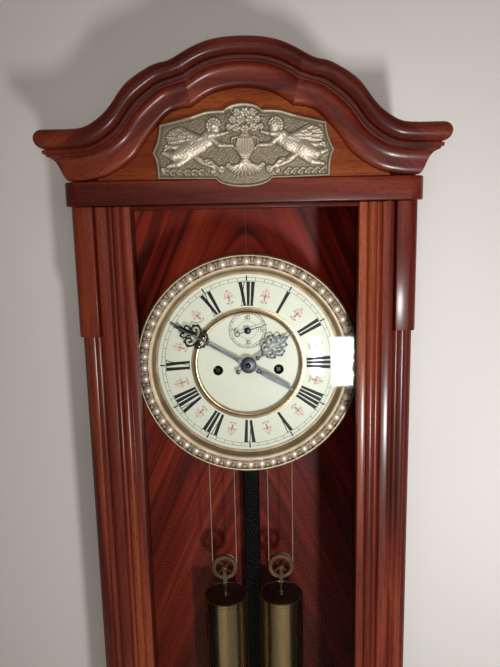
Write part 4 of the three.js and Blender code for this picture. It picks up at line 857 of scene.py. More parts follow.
def enlist(obj: Object, body: Body,
           replaced: Iterable[str] = ()) -> Object:
    """Attaches a visual piece to its body and hides the CAD nodes that it stands for.

    Args:
        obj: The piece.
        body: Body that it rides.
        replaced: CAD nodes that it stands for.

    Returns:
        The piece.
    """
    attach(obj, body.value)
    if replaced:
        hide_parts(*replaced)
    LOG.info("%-26s %7d faces on %s", obj.name, len(obj.data.polygons), body.value)
    return obj


def add_piece(name: str, shell: Shell, finish: Finish, body: Body = Body.CASE, replaced: Iterable[str] = (),
              crease: float = 32.0, soften: float = 0.0) -> Object:
    return enlist(stand(name, shell, finish, crease, soften), body, replaced)


def dress(frame: dict, finish: Finish, *nodes: str) -> None:
    """Gives CAD nodes that stay in view a finish.

    Args:
        frame: The loaded frame.
        finish: Finish of the nodes.
        *nodes: Names of the nodes.
    """
    for name in nodes:
        mesh = frame["nodes"][name].data
        mesh.materials.clear()
        mesh.materials.append(material(finish))
        LOG.info("%-26s dressed in %s", name, finish.value.name)


# Repeats


@dataclass(frozen=True)
class Ring:
    """A ring of equal instances about the dial's axis, laid by a node group. The phase is in degrees."""

    count: int
    radius: float
    depth: float
    phase: float = 0.0

    def group(self) -> NodeTree:
        """Builds the node group on first use.

        Returns:
            The node group.
        """
        name = "ring_of_instances"
        if name in bpy.data.node_groups:
            return bpy.data.node_groups[name]
        tree = bpy.data.node_groups.new(name, "GeometryNodeTree")
        for label, kind in (("Geometry", "NodeSocketGeometry"), ("Count", "NodeSocketInt"),
                            ("Radius", "NodeSocketFloat"), ("Centre", "NodeSocketVector"),
                            ("Phase", "NodeSocketFloat"), ("Instance", "NodeSocketObject"),
                            ("Material", "NodeSocketMaterial")):
            tree.interface.new_socket(label, in_out="INPUT", socket_type=kind)
        tree.interface.new_socket("Geometry", in_out="OUTPUT", socket_type="NodeSocketGeometry")
        node = partial(add_node, tree)
        entry = node("NodeGroupInput").outputs
        circle = node("GeometryNodeMeshCircle", {"Vertices": entry["Count"], "Radius": entry["Radius"]})
        phase = node("ShaderNodeCombineXYZ", {"Z": entry["Phase"]})
        spin = node("GeometryNodeTransform", {"Geometry": circle, "Rotation": phase})
        tilt = node("GeometryNodeTransform", {
            "Geometry": spin, "Rotation": (pi / 2, 0.0, 0.0), "Translation": entry["Centre"]})
        where = node("GeometryNodeInputPosition")
        away = node("ShaderNodeVectorMath", {0: where, 1: entry["Centre"]}, operation="SUBTRACT")
        align = node("FunctionNodeAlignRotationToVector", {"Vector": away}, axis="X", pivot_axis="Y")
        info = node("GeometryNodeObjectInfo", {"Object": entry["Instance"]})
        lay = node("GeometryNodeInstanceOnPoints", {
            "Points": tilt, "Instance": info.outputs["Geometry"], "Rotation": align})
        real = node("GeometryNodeRealizeInstances", {"Geometry": lay})
        paint = node("GeometryNodeSetMaterial", {"Geometry": real, "Material": entry["Material"]})
        node("NodeGroupOutput", {"Geometry": paint})
        return tree

    def lay(self, name: str, seed: Shell, finish: Finish, crease: float = 40.0) -> Object:
        """Lays a seed shell round the ring.

        Args:
            name: Name of the piece.
            seed: Shell drawn about the origin, with x outwards.
            finish: Finish of the piece.
            crease: Angle in degrees above which an edge stays sharp.

        Returns:
            The piece as an object.
        """
        mesh = bpy.data.meshes.new(f"{name}_seed")
        mesh.from_pydata([(x * MM, -d * MM, z * MM) for x, d, z in seed.verts], [], seed.faces)
        clean(mesh, crease)
        one = enter(f"{name}_seed", mesh)
        holder = enter(f"{name}_holder", bpy.data.meshes.new(name))
        modifier = holder.modifiers.new("ring", "NODES")
        modifier.node_group = self.group()
        values = {
            "Count": self.count, "Radius": self.radius * MM, "Centre": place(0.0, self.depth, 0.0),
            "Phase": radians(self.phase), "Instance": one, "Material": material(finish),
        }
        for item in modifier.node_group.interface.items_tree:
            if item.in_out == "INPUT" and item.name in values:
                modifier[item.identifier] = values[item.name]
        made = frozen(holder)
        bpy.data.objects.remove(one)
        return enter(name, made)


def circle(x: float, z: float, radius: float, steps: int) -> list[Point]:
    """Points round a circle, without a doubled end."""
    return [(x + radius * cos(a), z + radius * sin(a)) for a in (TURN * i / steps for i in range(steps))]


def polar(radius: float, bearing: float, centre: Point = (0.0, 0.0)) -> Point:
    """Point at a bearing in degrees, clockwise from twelve o'clock."""
    angle = radians(bearing)
    return (centre[0] + radius * sin(angle), centre[1] + radius * cos(angle))


def spun(shape: Sequence[Point], bearing: float, centre: Point = (0.0, 0.0)) -> list[Point]:
    """Outline drawn upright, turned clockwise to a bearing and moved to a centre."""
    c, s = cos(radians(bearing)), sin(radians(bearing))
    return [(centre[0] + x * c + y * s, centre[1] - x * s + y * c) for x, y in shape]


# Sub-assemblies


@dataclass
class CaseWork:
    """Carcase, head, columns, base and bracket: everything wooden that stays still."""

    frame: dict
    head_half: float = 158.0
    head_depth: float = 184.0
    head_low: float = 156.0
    head_top: float = 176.7
    project: float = 16.0
    cornice_low: float = 177.0
    cornice_rise: float = 75.3
    upper_low: float = 219.3
    upper_rise: float = 70.3
    wall_gap: float = 1.0
    base_half: float = 163.0
    base_depth: float = 188.0
    base_thick: float = 17.0
    base_low: float = -744.3
    base_high: float = 46.0
    board_half: float = 146.3
    board_rear: float = 16.3
    board_front: float = 171.3
    board_top: float = -712.3
    corner_in: float = 133.1
    corner_rear: float = 140.0
    corner_notch: Point = (139.3, 156.3)
    corner_top: float = 155.7
    block_low: float = 39.0
    column_low: float = -698.0
    column_radius: float = 21.9
    reed_rise: float = 2.19
    bracket_top: float = -744.6
    bracket_high: float = 74.0
    finial_top: float = -818.9
    finial_high: float = 52.0
    finial_radius: float = 21.0
    finial_depth: float = 44.0
    crown_steps: int = 16
    draw_in: float = 14.0

    def arch(self, crown: Sequence[Point], shoulder: Sequence[Point], low: float, rise: float) -> list[Point]:
        """Right half of an edge of the arch, from the middle out."""
        shares = catmull(crown, self.crown_steps) + catmull(shoulder, 30)[1:]
        return [(x * self.head_half, low + y * rise) for x, y in shares]

    def edges(self) -> tuple[list[Point], list[Point]]:
        """Lower and upper edge of the cornice.

        Returns:
            The two edges, each from the middle out.
        """
        lower = self.arch(
            ((0, 1), (0.084, 0.982), (0.165, 0.937), (0.228, 0.865), (0.272, 0.795)),
            ((0.272, 0.795), (0.34, 0.78), (0.41, 0.71), (0.51, 0.49), (0.6, 0.25), (0.74, 0.07),
             (0.87, 0.01)),
            self.cornice_low, self.cornice_rise)
        upper = self.arch(
            ((0, 1), (0.094, 0.99), (0.184, 0.953), (0.266, 0.882), (0.326, 0.81)),
            ((0.326, 0.81), (0.385, 0.745), (0.475, 0.69), (0.61, 0.5), (0.72, 0.2), (0.83, 0.03),
             (0.93, 0)),
            self.upper_low, self.upper_rise)
        return lower, upper

    def section(self) -> list[Point]:
        """Cornice section: ogee, two fillets and a round nose.

        Returns:
            Its points, as shares of the projection and the height.
        """
        ogee = catmull([(-0.12, 0.0), (0.03, 0.025), (0.11, 0.1), (0.14, 0.21), (0.18, 0.33), (0.3, 0.43),
                        (0.54, 0.485)], 24)
        steps = [(0.54, 0.525), (0.67, 0.53), (0.68, 0.595), (0.58, 0.605)]
        nose = arc(0.56, 0.812, 0.44, 0.188, -pi / 2, pi / 2, 18)
        return [(-0.75, 0.0), *ogee, *steps, *nose, (-0.75, 1.0)]

    def cornice(self) -> None:
        """Crown and two shoulders mitred to it, and two level returns mitred at the corners."""
        section = self.section()
        lower, upper = self.edges()
        half, depth, out = self.head_half, self.head_depth, self.project
        front = [
            [(lo[0] + (hi[0] - lo[0]) * y, depth + x * out, lo[1] + (hi[1] - lo[1]) * y) for x, y in section]
            for lo, hi in zip(lower, upper)
        ]
        level = self.upper_low - self.cornice_low
        mitre = [(half + x * out - self.draw_in * max(0.0, 0.5 - y), depth + x * out,
                  self.cornice_low + y * level) for x, y in section]
        front.append(mitre)
        joint = self.crown_steps
        left = [[(-x, d, z) for x, d, z in ring] for ring in reversed(front[1:joint + 1])]
        add_piece("cornice_crown", loft(left + front[:joint + 1]), Finish.MAHOGANY_ACROSS, Body.CASE,
                  ["cornice"], 28)
        for side, name, finish in ((-1, "left", Finish.MAHOGANY_RISING),
                                   (1, "right", Finish.MAHOGANY_FALLING)):
            shoulder = [[(side * x, d, z) for x, d, z in ring] for ring in front[joint:]]
            add_piece(f"cornice_shoulder_{name}", loft(shoulder), finish, crease=28)
            rings = [[(side * x, depth, z) for x, depth, z in ring]
                     for ring in (mitre, [(x, self.wall_gap, z) for x, _, z in mitre])]
            add_piece(f"cornice_return_{name}", loft(rings), Finish.MAHOGANY_DEEP, crease=28)

    def frieze(self) -> None:
        """Rounded board under the cornice, round three sides, with a hollowed lower edge."""
        half, depth, rounding, thick = self.head_half, self.head_depth, 14.0, 12.0
        corner = arc(half - rounding, depth - rounding, rounding, rounding, 0, pi / 2, 12)
        outer = [(half, self.wall_gap), *corner]
        inner = [(half - thick, self.wall_gap), (half - thick, depth - 16.0)]
        outer += [(-x, d) for x, d in reversed(outer)]
        inner += [(-x, d) for x, d in reversed(inner)]
        plan = outer + list(reversed(inner))
        add_piece("frieze_board", post(plan, self.head_low, self.head_top), Finish.MAHOGANY_ACROSS, Body.CASE,
                  ["frieze"], soften=1.2)

    def tympanum(self) -> None:
        """Veneered board under the arch."""
        lower, _ = self.edges()
        reach = [(x, z - 0.5) for x, z in lower if x < self.head_half * 0.8]
        right = [(reach[-1][0], self.cornice_low), *reversed(reach)]
        outline = right + [(-x, z) for x, z in reversed(right[:-1])]
        add_piece("tympanum_board", prism(outline, 169.0, 181.0), Finish.FIELD, Body.CASE, ["tympanum"],
                  soften=0.3)

    def trim(self, front: Sequence[Point]) -> list[Point]:
        """Closes the plan of a corner piece behind its front."""
        across, depth = self.corner_notch
        return [*front, (across, self.corner_rear), (across, depth), (self.corner_in, depth)]

    def corners(self) -> None:
        """Plain blocks with a rounded edge above, reeded quarter columns below."""
        start, rear = self.corner_in, self.corner_rear
        block = self.trim([(start, 171.0), (start + 1.2, 178.0),
                           *arc(145.0, 169.0, 9.0, 9.0, pi / 2, 0, 14), (154.0, rear)])
        reeds, steps = 4, 14
        fluted = []
        for i in range(reeds * steps + 1):
            reach = self.column_radius - self.reed_rise * (1 - sin(pi * (i % steps) / steps))
            angle = pi / 2 * (1 - i / (reeds * steps))
            fluted.append((start + reach * cos(angle), 152.1 + reach * sin(angle)))
        column = self.trim([*fluted, (152.8, rear)])
        for name, side in (("left", -1), ("right", 1)):
            plans = [[(side * x, d) for x, d in plan] for plan in (block, column)]
            add_piece(f"block_{name}", post(plans[0], self.block_low, self.corner_top),
                      Finish.MAHOGANY_UPRIGHT, Body.CASE, [f"corner_block_{name}"], 24, 0.8)
            add_piece(f"column_{name}", post(plans[1], self.column_low, self.block_low - 0.3),
                      Finish.MAHOGANY_UPRIGHT, Body.CASE, [f"quarter_column_{name}"], 50)

    def base(self) -> None:
        """Base moulding in three mitred lengths over its bottom board."""
        thick, high = self.base_thick, self.base_high
        cove = [(x + thick * 0.3, y) for x, y in
                arc(-thick * 0.36, high * 0.02, thick * 0.3, high * 0.16, pi, pi / 2, 10)]
        torus = arc(-thick * 0.3, high * 0.34, thick * 0.3, high * 0.14, -pi / 2, pi / 2, 16)
        upper = arc(-thick * 0.36, high * 0.62, thick * 0.2, high * 0.26, 0, pi / 2, 12)
        section = [(-thick, 0.0), *cove, *torus, *upper, (-thick * 0.36, high), (-thick, high)]

        def ring(side: int, wall: bool) -> list[Triple]:
            """Section at the front corner of one side, or where that side meets the wall."""
            return [(side * (self.base_half + x), self.wall_gap if wall else self.base_depth + x,
                     self.base_low + y) for x, y in section]

        half, rear, front = self.board_half, self.board_rear, self.board_front
        plan = [(-half, rear), (-half, front), (half, front), (half, rear)]
        add_piece("base_front", loft([ring(-1, False), ring(1, False)]), Finish.MAHOGANY_ACROSS, Body.CASE,
                  ["base_moulding"], 28)
        add_piece("base_board", post(plan, self.base_low, self.board_top), Finish.MAHOGANY_ACROSS, soften=0.5)
        for name, side in (("left", -1), ("right", 1)):
            add_piece(f"base_return_{name}", loft([ring(side, False), ring(side, True)]),
                      Finish.MAHOGANY_DEEP, crease=28)

    def bracket(self) -> None:
        """Shaped block under the case and its turned drop."""
        rings, steps = [], 40
        for i in range(steps + 1):
            share = i / steps
            narrowing = share - 0.1 * sin(TURN * share)
            half, reach = 134 - 100 * narrowing, 152 - 68 * narrowing
            rings.append([(x * half, self.wall_gap + y * (reach - self.wall_gap),
                           self.bracket_top - self.bracket_high * share)
                          for x, y in ((-1, 0), (1, 0), (1, 1), (-1, 1))])
        add_piece("bracket_block", loft(rings), Finish.MAHOGANY_ACROSS, replaced=["base_bracket"], soften=1.5)
        turning = [(0, 0.9), (0.1, 1), (0.16, 0.62), (0.24, 0.5), (0.3, 0.82), (0.42, 1), (0.56, 0.9),
                   (0.7, 0.55), (0.78, 0.28), (0.84, 0.34), (0.92, 0.32), (0.995, 0.06)]
        pairs = [(self.finial_top - self.finial_high * share, self.finial_radius * max(r, 0.02))
                 for share, r in [(0, 0.0), *catmull(turning, 66), (1, 0.0)]]
        add_piece("finial_drop", turned_upright(pairs, 0.0, self.finial_depth, 40), Finish.MAHOGANY_UPRIGHT,
                  Body.CASE, ["drop_finial"], 50)

    def build(self) -> None:
        """Builds and dresses the wooden case."""
        for step in (self.cornice, self.frieze, self.tympanum, self.corners, self.base, self.bracket):
            step()
        dress(self.frame, Finish.FLAME, "backboard")
        dress(self.frame, Finish.MAHOGANY_UPRIGHT, "side_panel_left", "side_panel_right")
        dress(self.frame, Finish.MAHOGANY_ACROSS, "case_floor", "case_roof")
        dress(self.frame, Finish.BRASS, "hanger_plate")


@dataclass
class Door:
    """Glazed door on two pivots, with its turning knob."""

    frame: dict
    opening: float = 101.2
    outer: float = 132.8
    back: float = 157.0
    rebate: Point = (105.5, 164.0)
    low: float = -697.0
    top: float = 155.2
    knob: Point = (-113.0, -430.0)

    def plan(self) -> list[Point]:
        """Plan of the right stile: flat, reed, groove and rolled outer edge.

        Returns:
            Its points across and in depth.
        """
        reed = arc(112.89, 175.5, 4.1, 3.5, pi, 0, 18)
        groove = catmull([(117.63, 174.5), (120.16, 175.0), (122.06, 178.5)], 6)
        roll = arc(127.8, 174.0, 5.0, 5.0, pi / 2, 0, 14)
        across, depth = self.rebate
        return [(self.opening, depth), (self.opening, 176.5), (107.52, 177.0), (107.84, 175.25), *reed,
                *groove, *roll, (self.outer, self.back), (across, self.back), (across, depth)]

    def build(self) -> None:
        """Builds and dresses the door."""
        plan = self.plan()
        for name, side in (("left", -1), ("right", 1)):
            add_piece(f"stile_{name}", post([(side * x, d) for x, d in plan], self.low, self.top),
                      Finish.DOOR_UPRIGHT, Body.DOOR, [f"door_stile_{name}"], 30, 0.35)
        section = [(d, self.low + (self.outer - x)) for x, d in plan]
        half, depth = self.opening - 0.3, self.rebate[1]
        add_piece("rail_bottom", beam(section, -half, half), Finish.DOOR_ACROSS, Body.DOOR,
                  ["door_bottom_rail"], 30, 0.35)
        # The top rail takes the darker case mahogany, not the door's, so it shows as a thin dark line under
        # the frieze: painted shade
        upper = [(depth, 151.4), (174.0, 151.4), (175.0, 152.4), (175.0, self.top), (self.back, self.top),
                 (self.back, 152.2), (depth, 152.2)]
        add_piece("rail_top", beam(upper, -half, half), Finish.MAHOGANY_ACROSS, Body.DOOR, ["door_top_rail"],
                  30, 0.35)
        turning = [(183, 3), (186.6, 4.5), (190.2, 8.55), (193.8, 9), (197.4, 7.2), (199.15, 3.4)]
        pairs = [(148, 0), (148, 3), (179.2, 3), (179.4, 4.8), (181.2, 4.8), (182, 3), *catmull(turning, 30),
                 (199.2, 0)]
        x, z = self.knob
        tongue = post([(x - 2.5, 148), (x + 2.5, 148), (x + 2.5, 151), (x - 2.5, 151)], z - 14.5, z)
        add_piece("knob_turned", joined(turned_forward(pairs, x, z, 36), tongue), Finish.BRASS,
                  Body.DOOR_KNOB, ["door_knob"], 30)
        dress(self.frame, Finish.GLASS, "door_glass")
        dress(self.frame, Finish.BRASS, "door_pivot_upper", "door_pivot_lower")


Limb = tuple[Point, Point, float, float, float]


@dataclass
class Plaque:
    """Pressed brass plaque: two winged children either side of an urn of flowers.

    Each figure is a list of rounded limbs: two ends, two radii and a height above the ground.
    """

    half: float = 77.5
    low: float = 177.2
    high: float = 45.5
    rear: float = 181.3
    seat: float = 184.3
    ground: float = 187.3
    lip: float = 187.9
    rim: float = 188.7
    step: float = 0.45
    axis: float = 1.5
    limbs: list[Limb] = field(default_factory=list)

    def outline(self, inset: float) -> list[Point]:
        """Outer edge of the plaque.

        Args:
            inset: How far it is drawn in.

        Returns:
            The closed outline.
        """
        flank = [(0.95, 0), (0.955, 0.2), (0.97, 0.36), (1, 0.48)]
        horn = [(1, 0.48), (0.958, 0.62), (0.925, 0.8), (0.91, 0.985)]
        brow = [(0.91, 0.985), (0.76, 1.04), (0.57, 1.12), (0.42, 1.2), (0.3, 1.22), (0.24, 1.22)]
        edge = catmull(flank, 15) + catmull(horn, 15)[1:] + catmull(brow, 30)[1:]
        right = [*arc(0, self.low, self.half * 0.31, 8.2, -pi / 2, -0.12, 12),
                 *[(x * self.half, self.low + y * self.high) for x, y in edge],
                 *arc(0, self.low + self.high * 1.16, self.half * 0.22, 8.6, 0.35, pi / 2, 10)]
        whole = right + [(-x, z) for x, z in reversed(right[1:-1])]
        middle, shrink = self.low + self.high / 2, 1 - inset / self.half
        return [(x * shrink, middle + (z - middle) * (1 - inset / 30)) for x, z in whole]

    def limb(self, start: Point, end: Point, thick: float, thin: float, rise: float) -> None:
        """Adds one rounded limb."""
        self.limbs.append((start, end, thick, thin, rise))

    def ribbon(self, points: Sequence[Point], thick: float, thin: float, rise: float) -> None:
        """Adds a curved strand that narrows towards its end.

        Args:
            points: Points along the strand.
            thick: Radius at its start.
            thin: Radius at its end.
            rise: Height above the ground.
        """
        route = catmull(points, 4 * len(points))
        last = len(route) - 1
        for i, (start, end) in enumerate(zip(route, route[1:])):
            radii = [thick + (thin - thick) * k / last for k in (i, i + 1)]
            self.limb(start, end, *radii, rise)

    def child(self, side: int) -> None:
        """Adds one generic winged child that leans towards the urn.

        Args:
            side: 1 for the right, -1 for its mirror image on the left.
        """

        def at(across: float, height: float) -> Point:
            """Point at a distance from the plaque's middle."""
            return (self.axis + side * across, height)

        self.limb(at(24.6, 217.5), at(25.4, 219.0), 4.3, 5.2, 3.4)
        for ring, (reach, count) in enumerate(((5.6, 9), (3.4, 6), (1.2, 3))):
            for i in range(count):
                angle = radians(-35 + 205 * (i + 0.5 * (ring % 2)) / (count - 1))
                curl = at(26.2 + reach * cos(angle), 220.2 + reach * sin(angle))
                self.limb(curl, curl, 1.7, 1.7, 2.9 + 0.5 * ring)
        self.limb(at(28, 214.5), at(30, 211), 3.2, 4.4, 2.8)
        self.limb(at(32.5, 208.5), at(38, 205.5), 6.9, 7.0, 3.1)
        self.limb(at(38, 204.5), at(49, 200.5), 7.2, 7.4, 3.3)
        for start, end in ((at(30, 211), at(21.5, 204.0)), (at(33, 213), at(22.5, 212.5))):
            self.limb(start, end, 3.2, 2.6, 3.7)
        self.limb(at(21.5, 204), at(11, 203.5), 2.6, 1.7, 3.5)
        self.limb(at(22.5, 212.5), at(14, 214.5), 2.5, 1.6, 3.1)
        self.limb(at(49, 201), at(61, 195.5), 6.0, 4.2, 3.7)
        self.limb(at(61, 195.5), at(69.5, 198.5), 3.6, 2.0, 3.3)
        self.limb(at(48, 197), at(57, 189.5), 5.2, 3.6, 2.9)
        self.limb(at(57, 189.5), at(66.5, 187.5), 3.2, 1.8, 2.7)
        for row, (count, length) in enumerate(((11, 1.0), (9, 0.66), (6, 0.4))):
            for i in range(count):
                angle = radians(46 - 74 * i / (count - 1))
                reach = length * (20 + 8 * sin(pi * (i + 1.5) / (count + 1)))
                tip = at(38.5 + reach * cos(angle), 209 + reach * 0.62 * sin(angle))
                self.limb(at(36 + 0.4 * i, 210.5 - 0.2 * i), tip, 1.7, 1.2, 1.3 + 0.45 * row + 0.35 * (i % 2))
        for i in range(5):
            self.ribbon([at(45 - 1.5 * i, 196.5 - 0.6 * i), at(38 - 2.2 * i, 190 - 0.8 * i),
                         at(31 - 1.7 * i, 192.5 - 1.7 * i), at(25.5 - 1.2 * i, 187 - 1.0 * i)],
                        2.1, 1.2, 1.8 + 0.35 * (i % 2))
        for i in range(4):
            self.ribbon([at(52 + 3 * i, 205.5 - i), at(59 + 2.5 * i, 202 + i), at(66 + i, 204.5 - 2 * i)],
                        1.6, 0.9, 1.9)

    def urn(self) -> None:
        """Adds the gadrooned urn with its handles, foot, bouquet and garland."""
        axis = self.axis
        for z, half in ((212, 4.6), (209.5, 6.6), (206, 7.6), (202, 7.9), (198, 7.0), (194.8, 4.8),
                        (192, 2.8), (190, 5.4)):
            self.limb((axis - half * 0.5, z), (axis + half * 0.5, z), half * 0.5, half * 0.5, 3.2)
        for i in range(7):
            share = (i - 3) / 3
            self.ribbon([(axis + share * 5.2, 210), (axis + share * 7.2, 203), (axis + share * 3.4, 195)],
                        0.95, 0.8, 3.8)
        for side in (-1, 1):
            self.ribbon([(axis + side * 6, 210.5), (axis + side * 11, 209), (axis + side * 10, 203),
                         (axis + side * 6.5, 199.5)], 1.3, 1.0, 2.6)
        flowers = [(0, 217.0, 4.4), (-7.5, 218.5, 4.2), (7.5, 218.5, 4.2), (-3.8, 225, 4.2),
                   (4.2, 224.6, 4.2), (-10.5, 225, 3.4), (10.5, 225, 3.4), (0, 231, 4.2),
                   (-6.5, 231.5, 3.2), (6.5, 231.5, 3.2), (0, 237, 3.2), (-13.5, 219, 3.0), (13.5, 219, 3.0)]
        garland = ((20.5, 184.2, 3.6), (27.5, 182.4, 2.6), (14.5, 187.5, 2.6), (70, 184.5, 2.6))
        flowers += [(side * x, z, size) for side in (-1, 1) for x, z, size in garland]
        for x, z, size in flowers:
            for i in range(6):
                a = TURN * i / 6 + x
                petal = (axis + x + size * 0.6 * cos(a), z + size * 0.6 * sin(a))
                self.limb(petal, petal, size * 0.46, size * 0.46, 2.5 + 0.4 * (i % 2))
            self.limb((axis + x, z), (axis + x, z), size * 0.27, size * 0.27, 3.5)
        for i in range(13):
            a = radians(186 + 14 * i)
            self.limb((axis + 4.5 * cos(a), 188.6), (axis + 14.5 * cos(a), 187 + 8.2 * sin(a)),
                      1.5, 1.1, 2.3 + 0.4 * (i % 2))
        for i in range(12):
            a = radians(15 + 150 * i / 11)
            c, s = cos(a), sin(a)
            self.limb((axis + 9 * c, 222 + 8 * s), (axis + 17 * c, 222 + 16 * s), 1.6, 0.7, 1.7)

    def figures(self) -> None:
        """Lists every limb of the relief."""
        self.urn()
        for side in (-1, 1):
            self.child(side)
            for i in range(6):
                x = self.axis + side * (33 + 6.0 * i)
                self.ribbon([(x, 180.3), (x + side * 4, 184.4), (x + side * 7, 182.4),
                             (x + side * 5.2, 180.9)], 1.3, 0.8, 1.7)

    def heights(self, xs: np.ndarray, zs: np.ndarray) -> np.ndarray:
        """Height of the relief above its ground, with limbs that melt into each other.

        Args:
            xs: Places across.
            zs: Heights of the same points.

        Returns:
            The height at each point.
        """
        total = np.zeros_like(xs)
        for (ax, az), (bx, bz), thick, thin, rise in self.limbs:
            dx, dz = bx - ax, bz - az
            t = np.clip(((xs - ax) * dx + (zs - az) * dz) / max(dx * dx + dz * dz, 1e-9), 0, 1)
            away = np.hypot(xs - ax - t * dx, zs - az - t * dz) / (thick + (thin - thick) * t)
            dome = rise * np.sqrt(np.clip(1 - away * away, 0, None)) ** 0.8
            total = (total ** 6 + dome ** 6) ** (1 / 6)
        return total

    def relief(self) -> Shell:
        """Height field inside the rim, whose edge dips into the plate.

        Returns:
            The relief as a shell.
        """
        xs, zs = np.meshgrid(np.arange(-75.5, 76, self.step), np.arange(168.0, 243, self.step))
        loop = np.array(self.outline(3.2))
        inside = np.zeros(xs.shape, dtype=bool)
        for (x0, z0), (x1, z1) in zip(loop, np.roll(loop, -1, axis=0)):
            if z0 != z1:
                inside ^= ((z0 > zs) != (z1 > zs)) & (xs < (x1 - x0) * (zs - z0) / (z1 - z0) + x0)
        across, upright = 2.1 * xs + 1.3 * np.sin(1.1 * zs), 2.3 * zs + 1.2 * np.sin(0.9 * xs)
        hammered = 0.16 * np.sin(across) * np.sin(upright)
        raised = self.ground + 0.25 + hammered + self.heights(xs, zs)
        depth = np.where(inside, raised, self.ground - 0.5)
        rows, columns = xs.shape
        verts = [(float(x), float(d), float(z)) for x, d, z in zip(xs.ravel(), depth.ravel(), zs.ravel())]
        near = inside.copy()
        for axis, shift in ((0, 1), (0, -1), (1, 1), (1, -1)):
            near |= np.roll(inside, shift, axis=axis)
        faces = [(r * columns + c, r * columns + c + 1, (r + 1) * columns + c + 1, (r + 1) * columns + c)
                 for r in range(rows - 1) for c in range(columns - 1)
                 if near[r, c] and near[r, c + 1] and near[r + 1, c] and near[r + 1, c + 1]]
        used = sorted({i for face in faces for i in face})
        index = {old: new for new, old in enumerate(used)}
        return Shell([verts[i] for i in used], [tuple(index[i] for i in face) for face in faces])

    def build(self) -> None:
        """Builds the plate with its rim and the relief on it."""
        self.figures()
        outer, mid, inner = self.outline(0.0), self.outline(1.5), self.outline(3.0)
        rings = [
            [(x, self.rear, max(z, self.low)) for x, z in inner], [(x, self.seat, z) for x, z in inner],
            [(x, self.seat, z) for x, z in outer], [(x, self.lip, z) for x, z in outer],
            [(x, self.rim, z) for x, z in self.outline(0.7)], [(x, self.rim, z) for x, z in mid],
            [(x, self.lip, z) for x, z in self.outline(2.4)], [(x, self.ground, z) for x, z in inner],
        ]
        add_piece("plaque_plate", loft(rings), Finish.PRESSED, Body.CASE, ["plaque"], 40)
        obj = add_piece("plaque_relief", self.relief(), Finish.PRESSED, crease=180)
        if sum(p.normal.y for p in obj.data.polygons) > 0:
            obj.data.flip_normals()


